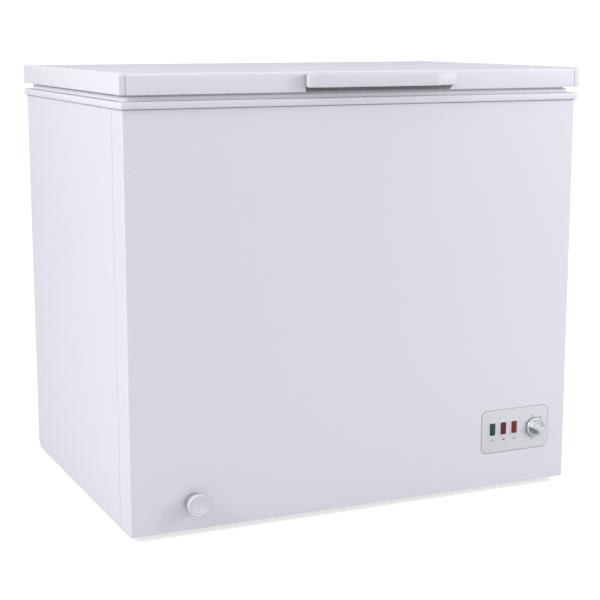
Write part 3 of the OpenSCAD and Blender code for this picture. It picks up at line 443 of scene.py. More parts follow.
@cache
def scuffs() -> bpy.types.NodeTree:
    """Sparse rub marks: noise stretched along X, of which only what is above 0.62 counts, 14 times over."""
    group = Group("Scuffs", {"Scale": 40, "Amount": 0.5}, ("Mask",))
    stretch = group.node("Mapping")
    stretch.inputs["Scale"].default_value = (0.12, 1, 1)
    stretch.inputs["Rotation"].default_value = (0.3, 0.2, 0.15)
    group.tree.links.new(group.coordinates(), stretch.inputs["Vector"])
    noise = group.texture("TexNoise", stretch.outputs["Vector"], Detail=6)
    above = group.math("SUBTRACT", noise.outputs["Fac"], 0.62)
    sharp = group.math("MULTIPLY", above, 14, clamp=True)
    return group.gives(Mask=group.math("MULTIPLY", sharp, group.given["Amount"]))


@cache
def dust() -> bpy.types.NodeTree:
    """Dust on faces that look up: the fourth power of the normal's Z, times noise, times Amount."""
    group = Group("Dust", {"Scale": 25, "Amount": 0.3}, ("Mask",))
    split = group.node("SeparateXYZ")
    group.tree.links.new(group.coordinates("Normal"), split.inputs[0])
    up = group.math("POWER", group.math("MAXIMUM", split.outputs["Z"], 0), 4)
    noise = group.texture("TexNoise", Detail=5, Roughness=0.65)
    both = group.math("MULTIPLY", up, noise.outputs["Fac"])
    return group.gives(Mask=group.math("MULTIPLY", both, group.given["Amount"]))


@cache
def pebble() -> bpy.types.NodeTree:
    """Rounded pebbles pressed into sheet: smooth Voronoi distance, times Depth."""
    group = Group("Pebble", {"Scale": 220, "Depth": 1}, ("Height",))
    cells = group.texture("TexVoronoi")
    cells.feature = "SMOOTH_F1"
    return group.gives(Height=group.math("MULTIPLY", cells.outputs["Distance"], group.given["Depth"]))


@cache
def spangle() -> bpy.types.NodeTree:
    """Crystals of a zinc coating: one random value for each Voronoi cell."""
    group = Group("Spangle", {"Scale": 90}, ("Mask",))
    split = group.node("SeparateColor")
    group.tree.links.new(group.texture("TexVoronoi").outputs["Color"], split.inputs[0])
    return group.gives(Mask=split.outputs[0])


class Relief(Enum):
    """Which relief a finish has."""

    GRAIN = "grain"
    PEBBLE = "pebble"


@dataclass(frozen=True)
class Finish:
    """One finish of the freezer, and the material that shows it."""

    name: str
    colour: Triple
    drift_to: Triple
    roughness: float = 0.4
    metallic: float = 0.0
    coat: float = 0.0
    coat_roughness: float = 0.12
    relief: Relief = Relief.GRAIN
    relief_scale: float = 600.0
    relief_depth: float = 0.00002
    rough_spread: float = 0.12
    drift_scale: float = 3.0
    drift_amount: float = 0.3
    scuff_scale: float = 40.0
    scuff_amount: float = 0.1
    scuff_to: Triple = (0.5, 0.5, 0.5)
    dust_amount: float = 0.05
    dust_to: Triple = (0.55, 0.53, 0.5)
    spangle: float = 0.0

    @staticmethod
    def _group(tree: bpy.types.NodeTree, group: bpy.types.NodeTree, **values: float) -> bpy.types.Node:
        """Places a shared effect in the material.

        Args:
            tree: The material's nodes.
            group: The effect.
            values: Values of the effect's inputs.

        Returns:
            The effect's node.
        """
        node = tree.nodes.new("ShaderNodeGroup")
        node.node_tree = group
        for label, value in values.items():
            node.inputs[label].default_value = value
        return node

    @staticmethod
    def _mix(tree: bpy.types.NodeTree, mask: bpy.types.NodeSocket, below: Triple | bpy.types.NodeSocket,
             above: Triple) -> bpy.types.NodeSocket:
        """Mixes two colours by a mask.

        Args:
            tree: The material's nodes.
            mask: Share of the upper colour.
            below: Lower colour, as a socket or three numbers.
            above: Upper colour.

        Returns:
            The mixed colour.
        """
        mix = tree.nodes.new("ShaderNodeMix")
        mix.data_type = "RGBA"
        tree.links.new(mask, mix.inputs["Factor"])
        if isinstance(below, bpy.types.NodeSocket):
            tree.links.new(below, mix.inputs[6])
        else:
            mix.inputs[6].default_value = (*below, 1)
        mix.inputs[7].default_value = (*above, 1)
        return mix.outputs[2]

    def material(self) -> bpy.types.Material:
        """The finish's material, made the first time that it is asked for."""
        found = bpy.data.materials.get(self.name)
        if found:
            return found
        material = bpy.data.materials.new(self.name)
        material.use_nodes = True
        tree = material.node_tree
        shader = tree.nodes["Principled BSDF"]
        shader.inputs["Metallic"].default_value = self.metallic
        shader.inputs["Coat Weight"].default_value = self.coat
        shader.inputs["Coat Roughness"].default_value = self.coat_roughness
        self._link_colour(tree, shader)
        self._link_relief(tree, shader)
        return material

    def _link_colour(self, tree: bpy.types.NodeTree, shader: bpy.types.Node) -> None:
        """Base colour: the finish's own, its drift, its scuffs and its dust."""
        layers = [(drift(), {"Scale": self.drift_scale, "Amount": self.drift_amount}, self.drift_to)]
        if self.spangle:
            lighter = tuple(min(1.0, c * (1 + self.spangle)) for c in self.colour)
            layers.append((spangle(), {}, lighter))
        layers.append((scuffs(), {"Scale": self.scuff_scale, "Amount": self.scuff_amount}, self.scuff_to))
        layers.append((dust(), {"Amount": self.dust_amount}, self.dust_to))
        colour = self.colour
        for group, values, above in layers:
            colour = self._mix(tree, self._group(tree, group, **values).outputs["Mask"], colour, above)
        tree.links.new(colour, shader.inputs["Base Color"])

    def _link_relief(self, tree: bpy.types.NodeTree, shader: bpy.types.Node) -> None:
        """Bump and roughness from the finish's relief."""
        fine = self._group(tree, grain(), Scale=self.relief_scale)
        spread = tree.nodes.new("ShaderNodeMapRange")
        spread.inputs["To Min"].default_value = max(0.02, self.roughness - self.rough_spread)
        spread.inputs["To Max"].default_value = min(1.0, self.roughness + self.rough_spread)
        tree.links.new(fine.outputs["Spread"], spread.inputs["Value"])
        tree.links.new(spread.outputs["Result"], shader.inputs["Roughness"])
        height = fine.outputs["Height"]
        if self.relief is Relief.PEBBLE:
            height = self._group(tree, pebble(), Scale=self.relief_scale).outputs["Height"]
        bump = tree.nodes.new("ShaderNodeBump")
        bump.inputs["Distance"].default_value = self.relief_depth
        tree.links.new(height, bump.inputs["Height"])
        tree.links.new(bump.outputs["Normal"], shader.inputs["Normal"])


ENAMEL = Finish("white enamel", (0.78, 0.775, 0.83), (0.76, 0.755, 0.80), roughness=0.3, coat=0.25,
                relief_scale=420, relief_depth=0.00003, rough_spread=0.06, drift_scale=2.2,
                scuff_amount=0.004, scuff_to=(0.66, 0.66, 0.68), dust_amount=0.02)
PLASTIC = Finish("white plastic", (0.745, 0.745, 0.785), (0.72, 0.72, 0.76), roughness=0.34,
                 relief_scale=900, rough_spread=0.08, scuff_amount=0.01, scuff_to=(0.66, 0.66, 0.68),
                 dust_amount=0.02)
HANDLE = Finish("handle plastic", (0.735, 0.73, 0.785), (0.73, 0.725, 0.775), roughness=0.36,
                relief_scale=900, rough_spread=0.08, scuff_amount=0.04, scuff_to=(0.64, 0.64, 0.66),
                dust_amount=0.02)
# Painted shadow: dark strip on the lid under the handle's bar, standing in for the shade there.
PAINTED_SHADOW_STRIP = Finish("grip strip", (0.17, 0.155, 0.16), (0.2, 0.19, 0.19), roughness=0.6, relief_scale=900,
              scuff_to=(0.3, 0.3, 0.3))
# Painted shadow: dark grey for the side seams and the line round the panel plate, standing in for the shade in
# those gaps.
PAINTED_SEAM_SHADOW = Finish("painted seam shadow", (0.29, 0.27, 0.31), (0.45, 0.44, 0.46), roughness=0.5, relief_scale=1500)
# Painted shadow: dark grey for the bead under the trim, standing in for the shadow of the trim's overhang.
PAINTED_TRIM_SHADOW = Finish("painted trim shadow", (0.22, 0.21, 0.23), (0.26, 0.25, 0.27), roughness=0.6, relief_scale=1500)
PANEL = Finish("panel plastic", (0.72, 0.715, 0.735), (0.70, 0.70, 0.72), roughness=0.42,
               relief_scale=1400, relief_depth=0.000025, scuff_amount=0.02, scuff_to=(0.6, 0.6, 0.6),
               dust_amount=0.01)
# Grey plastic: the drain stem's own colour; on the handle's foot and the drain knob's barrel the grey also
# stands in for shade on white plastic, so there it is painted shade.
GREY_PLASTIC_AND_SHADOW = Finish("grey plastic and painted shadow", (0.36, 0.355, 0.36), (0.32, 0.32, 0.33), roughness=0.45,
                      relief_scale=900, scuff_amount=0.05, scuff_to=(0.45, 0.45, 0.45))
PRINT = Finish("grey print", (0.10, 0.10, 0.12), (0.2, 0.2, 0.22), roughness=0.55, relief_scale=2500,
               relief_depth=0.000005)
ZINC = Finish("galvanised steel", (0.56, 0.57, 0.59), (0.48, 0.49, 0.51), roughness=0.38, metallic=0.9,
              relief_scale=250, relief_depth=0.00001, spangle=0.25, scuff_amount=0.15,
              scuff_to=(0.4, 0.4, 0.42), dust_amount=0.3)
STEEL = Finish("bright steel", (0.62, 0.62, 0.63), (0.5, 0.5, 0.5), roughness=0.28, metallic=1.0,
               relief_scale=500, relief_depth=0.00001, scuff_amount=0.2)
COPPER = Finish("copper tube", (0.72, 0.38, 0.22), (0.36, 0.2, 0.13), roughness=0.32, metallic=1.0,
                relief_scale=300, drift_scale=18, drift_amount=0.9, scuff_amount=0.2,
                scuff_to=(0.3, 0.22, 0.17))
SILVER = Finish("silver knob", (0.74, 0.76, 0.76), (0.68, 0.7, 0.7), roughness=0.3, metallic=0.35,
                coat=0.3, relief_scale=1800, relief_depth=0.000006, scuff_amount=0.03)
# Painted shade: dark green-grey for the lower half of the knob's dish and the ring round its skirt, standing in
# for the shade there.
PAINTED_KNOB_SHADE = Finish("knob painted shade", (0.26, 0.33, 0.32), (0.2, 0.27, 0.26), metallic=0.3, relief_scale=1800,
               relief_depth=0.000006)
BLACK = Finish("black enamel", (0.02, 0.02, 0.022), (0.03, 0.03, 0.03), roughness=0.3, coat=0.4,
               relief_scale=300, relief_depth=0.00004, scuff_amount=0.15, scuff_to=(0.1, 0.1, 0.1),
               dust_amount=0.4)
BLACK_PLASTIC = Finish("black plastic", (0.03, 0.03, 0.032), (0.045, 0.045, 0.045), roughness=0.5,
                       relief_scale=900, relief_depth=0.00004, dust_amount=0.3)
RUBBER = Finish("black rubber", (0.035, 0.035, 0.035), (0.06, 0.06, 0.06), roughness=0.75,
                relief_scale=700, relief_depth=0.00005, dust_amount=0.4)
SEAL = Finish("white seal", (0.92, 0.915, 0.96), (0.84, 0.84, 0.84), roughness=0.5, relief_scale=1100,
              scuff_amount=0.05, scuff_to=(0.7, 0.7, 0.68))
LINER = Finish("liner sheet", (0.74, 0.75, 0.77), (0.7, 0.71, 0.73), roughness=0.3, metallic=0.25,
               relief=Relief.PEBBLE, relief_scale=190, relief_depth=0.0004, scuff_amount=0.008,
               scuff_to=(0.6, 0.61, 0.62), dust_amount=0.02)
FOAM = Finish("foam", (0.86, 0.78, 0.55), (0.78, 0.66, 0.4), roughness=0.9, relief=Relief.PEBBLE,
              relief_scale=500, relief_depth=0.0005, drift_scale=12)
WIRE = Finish("coated wire", (0.79, 0.79, 0.80), (0.74, 0.74, 0.74), roughness=0.3, coat=0.3,
              relief_scale=300, relief_depth=0.00008)
ROLLER = Finish("roller plastic", (0.05, 0.05, 0.055), (0.08, 0.08, 0.08), roughness=0.5, relief_scale=800,
                relief_depth=0.00003, scuff_amount=0.4, scuff_to=(0.16, 0.16, 0.15), dust_amount=0.3)
GREEN_LENS = Finish("green lens", (0.004, 0.050, 0.028), (0.008, 0.09, 0.05), roughness=0.45,
                    relief_scale=1200, relief_depth=0.00004, drift_scale=90)
DARK_RED_LENS = Finish("dark red lens", (0.095, 0.006, 0.014), (0.15, 0.009, 0.02), roughness=0.45,
                       relief_scale=1200, relief_depth=0.00004, drift_scale=90)
RED_LENS = Finish("red lens", (0.17, 0.010, 0.010), (0.24, 0.014, 0.012), roughness=0.45,
                  relief_scale=1200, relief_depth=0.00004, drift_scale=90)

CAD_FINISHES: dict[Finish, tuple[str, ...]] = {
    ENAMEL: ("front_panel", "left_side_panel", "right_side_panel", "back_panel"),
    ZINC: ("base_pan", "base_rails", "compressor_plate", "compressor_bolts", "rear_cover", "cover_screws",
           "hinge_brackets", "hinge_leaves", "handle_screws"),
    STEEL: ("thermostat", "thermostat_shaft", "hinge_pins", "roller_axles", "evaporator_coil"),
    COPPER: ("thermostat_probe", "filter_drier", "discharge_line", "suction_line", "capillary_tube",
             "condenser_coil"),
    BLACK_PLASTIC: ("lamp_holder", "start_relay", "cord_gland"),
    RUBBER: ("compressor_grommets",),
    BLACK: ("compressor",),
    FOAM: ("insulation", "lid_insulation"),
    PLASTIC: ("drain_tube", "drain_collar"),
    GREY_PLASTIC_AND_SHADOW: ("drain_stem",),
}


def fit(obj: bpy.types.Object, body: str, finish: Finish, slot: str, *stands_for: str) -> bpy.types.Object:
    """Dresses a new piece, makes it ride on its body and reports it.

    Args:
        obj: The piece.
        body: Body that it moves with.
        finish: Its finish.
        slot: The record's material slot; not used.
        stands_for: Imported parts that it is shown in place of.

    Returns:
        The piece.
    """
    obj.data.materials.append(finish.material())
    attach(obj, body)
    if stands_for:
        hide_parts(*stands_for)
    LOG.info("%s rides on %s, %d points", obj.name, body, len(obj.data.vertices))
    return obj


def dress_packed_parts() -> None:
    """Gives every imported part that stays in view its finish."""
    for finish, nodes in CAD_FINISHES.items():
        for node in nodes:
            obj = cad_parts[node]
            for slot in obj.material_slots:
                slot.material = finish.material()
            if not obj.material_slots:
                obj.data.materials.append(finish.material())


# ---------------------------------------------------------------- studio


@dataclass(frozen=True)
class Softbox:
    """Rectangular light that points at a place, with its power in watts."""

    name: str
    place: Triple
    aim: Triple
    size: tuple[float, float]
    power: float
    colour: Triple = (1.0, 0.99, 1.0)

    def build(self) -> None:
        """Makes the light."""
        data = bpy.data.lights.new(self.name, "AREA")
        data.shape = "RECTANGLE"
        data.size, data.size_y = self.size
        data.energy = self.power
        data.color = self.colour
        light = linked(self.name, data)
        light.location = self.place
        light.rotation_euler = (Vector(self.aim) - Vector(self.place)).to_track_quat("-Z", "Y").to_euler()


SOFTBOXES = (
    Softbox("Left light", (-2.6, -0.55, 1.7), (-0.47, 0.0, 0.5), (1.8, 1.4), 43),
    Softbox("Right light", (1.9, -1.5, 1.25), (0.42, -0.33, 0.6), (0.9, 1.2), 20.5),
    Softbox("Front light", (0.9, -3.9, 1.3), (0.1, -0.33, 0.55), (2.4, 1.4), 3),
    Softbox("Top light", (0.2, -0.4, 3.6), (0.0, 0.0, 0.8), (3.0, 2.4), 15),
)


@dataclass
class Studio:
    """Camera, lights, floor and surroundings."""

    eye: Triple = (-1.230, -2.760, 0.924)
    yaw: float = math.radians(24.34)
    pitch: float = math.radians(10.53)
    lens: float = 87.5
    sensor: float = 36
    floor_half: float = 60.0
    floor_tone: float = 0.62
    floor_lift: float = 0.72
    sky_colour: Triple = (0.93, 0.94, 1.0)
    sky_strength: float = 0.68
    backdrop_strength: float = 1.05

    def build(self) -> None:
        """Makes the camera, the lights, the floor and the world."""
        self._camera()
        self._floor()
        self._world()
        for softbox in SOFTBOXES:
            softbox.build()

    def _camera(self) -> None:
        """Camera that looks to the right of the depth axis by yaw and down by pitch."""
        data = bpy.data.cameras.new("Camera")
        data.lens = self.lens
        data.sensor_width = self.sensor
        camera = linked("Camera", data)
        camera.location = self.eye
        camera.rotation_euler = (math.pi / 2 - self.pitch, 0, -self.yaw)
        bpy.context.scene.camera = camera
        bpy.context.scene.view_settings.view_transform = "Standard"

    def _floor(self) -> None:
        """Plain pale floor that runs out of view and looks lighter to the eye than to the object."""
        half = self.floor_half
        mesh = bpy.data.meshes.new("Floor")
        mesh.from_pydata([(-half, -half, 0), (half, -half, 0), (half, half, 0), (-half, half, 0)], [],
                         [(0, 1, 2, 3)])
        floor = linked("Floor", mesh)
        material = bpy.data.materials.new("pale floor")
        material.use_nodes = True
        tree = material.node_tree
        shader = tree.nodes["Principled BSDF"]
        shader.inputs["Base Color"].default_value = (self.floor_tone, self.floor_tone, self.floor_tone, 1)
        shader.inputs["Roughness"].default_value = 0.9
        shader.inputs["Specular IOR Level"].default_value = 0.1
        shader.inputs["Emission Color"].default_value = (1, 1, 1, 1)
        path = tree.nodes.new("ShaderNodeLightPath")
        lift = tree.nodes.new("ShaderNodeMath")
        lift.operation = "MULTIPLY"
        lift.inputs[1].default_value = self.floor_lift
        tree.links.new(path.outputs["Is Camera Ray"], lift.inputs[0])
        tree.links.new(lift.outputs[0], shader.inputs["Emission Strength"])
        mesh.materials.append(material)

    def _world(self) -> None:
        """White backdrop to the eye, and a softer sky as a source of light."""
        world = bpy.data.worlds.new("Surroundings")
        world.use_nodes = True
        tree = world.node_tree
        tree.nodes.clear()
        sky = tree.nodes.new("ShaderNodeBackground")
        sky.inputs["Color"].default_value = (*self.sky_colour, 1)
        sky.inputs["Strength"].default_value = self.sky_strength
        white = tree.nodes.new("ShaderNodeBackground")
        white.inputs["Color"].default_value = (1, 1, 1, 1)
        white.inputs["Strength"].default_value = self.backdrop_strength
        path = tree.nodes.new("ShaderNodeLightPath")
        mix = tree.nodes.new("ShaderNodeMixShader")
        out = tree.nodes.new("ShaderNodeOutputWorld")
        tree.links.new(path.outputs["Is Camera Ray"], mix.inputs["Fac"])
        tree.links.new(sky.outputs[0], mix.inputs[1])
        tree.links.new(white.outputs[0], mix.inputs[2])
        tree.links.new(mix.outputs[0], out.inputs["Surface"])
        bpy.context.scene.world = world


# ---------------------------------------------------------------- cabinet


@dataclass
class Cabinet:
    """Trim, liner, and painted shade in the side seams and under the trim: what is seen of the shell apart from
    its packed sheets.
    """

    trim_over: float = 0.006
    corner: float = 0.003
    wall: float = 0.062
    lip: float = 0.002
    lip_height: float = 0.025
    deck: float = 0.003
    trim_height: float = 0.013
    liner_corner: float = 0.025
    liner_sheet: float = 0.001
    liner_wall: float = 0.0008
    fillet: float = 0.014
    room_foam: float = 0.055
    seam_width: float = 0.0013
    seam_proud: float = 0.0001
    seam_depth: float = 0.0006

    def __post_init__(self) -> None:
        """Takes the plan of the sheets and the heights from the frame."""
        low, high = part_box("top_trim")
        self.half_x = high.x - self.trim_over
        self.half_y = (high.y - low.y) / 2 - self.trim_over
        self.middle_y = (high.y + low.y) / 2
        self.top = high.z
        self.foot = self.top - self.trim_height

    def ring(self, out: float, height: float) -> Ring:
        """Ring round the cabinet, whose corner radius suits its distance from the sheets.

        Args:
            out: Distance outside the sheets.
            height: Height of the ring.

        Returns:
            The ring.
        """
        radius = np.interp(out, [-self.wall - self.lip, -self.wall, 0, self.trim_over],
                           [self.liner_corner - self.lip, self.liner_corner, self.corner,
                            self.corner + self.trim_over])
        return Ring(self.half_x + out, self.half_y + out, float(radius), height, 0, self.middle_y)

    def build(self) -> None:
        """Makes the trim, the dark bead of painted shadow under it, the painted shade in the side seams and the
        liner.
        """
        self._trim()
        self._shadow_line()
        self._seams()
        self._liner()

    def _carried_round(self, section: np.ndarray) -> np.ndarray:
        """A section of distances and heights, carried round the cabinet."""
        return ring_grid([self.ring(out, height) for out, height in section])

    def _trim(self) -> None:
        """Trim: its section, with rounded edges, is carried round the top of the sheets."""
        over, inner, foot = self.trim_over, -self.wall - self.lip, self.foot
        section = rounded([
            (0.0, foot, 0.0004), (over, foot, 0.0022), (over, self.top, 0.0022), (inner, self.top, 0.0018),
            (inner, self.top - self.lip_height, 0.0008), (inner + self.lip, self.top - self.lip_height, 0.0008),
            (inner + self.lip, self.top - self.deck, 0.0004), (0.0, self.top - self.deck, 0.0004),
        ], 5)
        trim = Shape().add(self._carried_round(section), wrap=True).piece("top_frame")
        fit(trim, "cabinet", PLASTIC, "white_plastic", "top_trim")

    def _shadow_line(self) -> None:
        """Thin dark bead on the sheets, right under the trim: painted shadow of the trim's overhang."""
        foot = self.foot
        section = rounded([(-0.0004, foot - 0.0015, 0.0001), (0.0005, foot - 0.0012, 0.0002),
                           (0.0010, foot + 0.0002, 0.0001), (-0.0004, foot + 0.0002, 0.0001)], 3)
        bead = Shape().add(self._carried_round(section), wrap=True).piece("trim_shadow_line")
        fit(bead, "cabinet", PAINTED_TRIM_SHADOW, "grey_plastic")

    def _seams(self) -> None:
        """Painted shadow: dark strips in the two joints between the front sheet's returns and the side sheets,
        where the gap is in shade.
        """
        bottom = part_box("front_panel")[0].z + 0.001
        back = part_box("left_side_panel")[0].y
        front = back - self.seam_width
        slope = 0.0003
        shape = Shape()
        for side in (-1, 1):
            deep = side * (self.half_x - self.seam_depth)
            proud = side * (self.half_x + self.seam_proud)
            section = [(deep, front), (proud, front + slope), (proud, back - slope), (deep, back)]
            shape.add(np.array([[(x, y, z) for x, y in section] for z in (bottom, self.foot)]))
        fit(shape.piece("side_seams"), "cabinet", PAINTED_SEAM_SHADOW, "grey_plastic")

    def _liner(self) -> None:
        """Liner: rings that run down the walls, over the step and down into the well.

        A row is the place of the right side, the height and the inset of all
        sides, and each fillet is a quarter turn of cosines and sines.
        """
        low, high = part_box("inner_liner")
        thick = self.liner_sheet
        left, front, back = low.x + thick, low.y + thick, high.y - thick
        right, top, floor = high.x - thick, high.z, low.z + thick
        step_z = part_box("base_pan")[1].z - thick + self.room_foam
        step_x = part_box("compressor_plate")[0].x - self.room_foam
        f = self.fillet
        turn = np.linspace(0, math.pi / 2, 7)
        rows = [(right, top, 0.0)]
        rows += [(right - f + f * math.cos(a), step_z + f - f * math.sin(a), 0.0) for a in turn]
        rows += [(step_x + f - f * math.sin(a), step_z - f + f * math.cos(a), 0.0) for a in turn]
        rows += [(step_x - f * (1 - math.cos(a)), floor + f - f * math.sin(a), f * (1 - math.cos(a)))
                 for a in turn]
        rings = [Ring((side - left - inset) / 2, (back - front) / 2 - inset, self.liner_corner - inset, height,
                      (side + left + inset) / 2, (front + back) / 2) for side, height, inset in rows]
        liner = Shape().add(ring_grid(rings), caps=False).close_end(4 * CORNER_STEPS).piece("liner_tub")
        wall = liner.modifiers.new("Sheet", "SOLIDIFY")
        wall.thickness = self.liner_wall
        wall.offset = 1
        fit(liner, "cabinet", LINER, "liner_sheet", "inner_liner")


# ---------------------------------------------------------------- lid


@dataclass
class Lid:
    """Folded sheet, end caps, seal and inner pan."""

    edge: float = 0.006
    sheet: float = 0.0008
    hem: float = 0.0039
    cap_edge: float = 0.0015
    cap_round: float = 0.002
    groove: float = 0.0019
    seal_width: float = 0.018
    seal_foot: float = 0.0078
    seal_neck: float = 0.0045
    seal_fold: float = 0.0012
    dome_inset: float = 0.084
    recess_inset: float = 0.03
    recess_depth: float = 0.0018
    pan_wall: float = 0.0006

    def build(self) -> None:
        """Makes every piece of the lid but the handle."""
        self._sheet()
        self._cap("lid_end_cap_right", 1, "lid_right_cap")
        self._cap("lid_end_cap_left", -1, "lid_left_cap")
        self._seal()
        self._pan()

    def _sheet(self) -> None:
        """Sheet folded over the front, the top and the back: a thin closed outline along X."""
        low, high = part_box("lid_outer_panel")
        y0, y1, z0, z1 = low.y, high.y, low.z, high.z
        t, r, hem = self.sheet, self.edge, self.hem
        outline = rounded([
            (y0, z0, 0.0006), (y0, z1, r), (y1, z1, r), (y1, z0, 0.0006), (y1 - t, z0, 0.0001),
            (y1 - t, z1 - t, r - t), (y0 + t, z1 - t, r - t), (y0 + t, z0 + hem, 0.0001),
            (y0 + hem, z0 + hem, 0.0001), (y0 + hem, z0, 0.0004),
        ], 8)
        x0, x1 = low.x, high.x
        grid = np.stack([along_x(outline, x) for x in (x0, x0 + 0.001, x1 - 0.001, x1)])
        fit(Shape().add(grid).piece("lid_sheet"), "lid", ENAMEL, "white_enamel", "lid_outer_panel")

    def _cap(self, name: str, side: int, node: str) -> None:
        """End cap: the lid's outline, inset at both faces of the cap, with a shadow groove.

        Args:
            name: Name of the piece.
            side: 1 for the right cap and -1 for the left.
            node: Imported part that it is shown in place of.
        """
        low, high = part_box(node)
        inner, outer = (low.x, high.x) if side > 0 else (high.x, low.x)
        b, g = self.cap_edge, self.groove
        turn = np.linspace(0, math.pi / 2, 5)
        rows = [(inner, g), (inner + side * g * 0.6, g), (inner + side * g * 0.7, 0.0003),
                (inner + side * g * 0.85, 0)]
        rows += [(outer - side * (b - b * math.sin(a)), b * (1 - math.cos(a))) for a in turn]
        r = self.edge + self.cap_round

        def outline(inset: float) -> np.ndarray:
            """The cap's YZ outline, moved inwards."""
            y0, y1, z0, z1 = low.y + inset, high.y - inset, low.z + inset, high.z - inset
            return rounded([(y0, z0, 0.0012), (y0, z1, r - inset), (y1, z1, r - inset), (y1, z0, 0.0012)], 9)

        grid = np.stack([along_x(outline(inset), x) for x, inset in rows])
        fit(Shape().add(grid).piece(name), "lid", PLASTIC, "white_plastic", node)

    def _seal(self) -> None:
        """Seal: a magnetic foot and folded bellows carried round the opening."""
        low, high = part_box("lid_gasket")
        middle_x, middle_y = (low.x + high.x) / 2, (low.y + high.y) / 2
        half_x, half_y = (high.x - low.x) / 2, (high.y - low.y) / 2
        height = high.z - low.z
        width, foot, neck, fold = self.seal_width, self.seal_foot, self.seal_neck, self.seal_fold
        section = rounded([
            (-width, 0, 0.0008), (0, 0, 0.0006), (0, foot, 0.0016), (-neck, foot, 0.0005),
            (-neck - fold, foot + fold, 0.0004), (-neck, height, 0.0003), (-width + neck, height, 0.0003),
            (-width + neck + fold, foot + fold, 0.0004), (-width + neck, foot, 0.0005),
            (-width, foot, 0.0016),
        ], 4)
        radius = np.interp(section[:, 0], [-width, 0], [0.004, 0.010])
        rings = [Ring(half_x + out, half_y + out, r, low.z + up, middle_x, middle_y)
                 for (out, up), r in zip(section, radius)]
        fit(Shape().add(ring_grid(rings, 6), wrap=True).piece("lid_seal"), "lid", SEAL, "white_rubber",
            "lid_gasket")

    def _pan(self) -> None:
        """Inner pan: flat under the rim, with a raised middle that has a shallow recess.

        The middle stands out by t * t * (3 - 2 * t) of its depth, and the recess
        goes in by half of 1 - cos(pi * t).
        """
        low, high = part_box("lid_liner")
        half_x, half_y = (high.x - low.x) / 2, (high.y - low.y) / 2
        middle_y = (high.y + low.y) / 2
        rim_z, dome_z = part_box("lid_gasket")[1].z, low.z
        plan = Cabinet()
        dome_x, dome_y = plan.half_x - self.dome_inset, plan.half_y - self.dome_inset
        drop, inner, bend = rim_z - dome_z, self.recess_inset, 0.006
        turn = np.linspace(0, 1, 7)
        rings = [Ring(half_x, half_y, 0.002, high.z - 0.0002, 0, middle_y),
                 Ring(half_x, half_y, 0.002, rim_z + 0.0004, 0, middle_y),
                 Ring(half_x - 0.0004, half_y - 0.0004, 0.002, rim_z, 0, middle_y),
                 Ring(dome_x + bend, dome_y + bend, 0.020 + bend, rim_z, 0, plan.middle_y)]
        for t in turn:
            ease = t * t * (3 - 2 * t)
            spread = bend * (1 - 2 * t)
            rings.append(Ring(dome_x + spread, dome_y + spread, 0.020 + spread, rim_z - drop * ease, 0,
                              plan.middle_y))
        for t in turn:
            dip = self.recess_depth * (0.5 - 0.5 * math.cos(math.pi * t))
            rings.append(Ring(dome_x - inner - bend * t, dome_y - inner - bend * t, 0.016, dome_z + dip, 0,
                              plan.middle_y))
        pan = Shape().add(ring_grid(rings), caps=False).close_end(4 * CORNER_STEPS).piece("lid_inner_pan")
        wall = pan.modifiers.new("Sheet", "SOLIDIFY")
        wall.thickness = self.pan_wall
        wall.offset = -1
        fit(pan, "lid", PLASTIC, "white_plastic", "lid_liner")


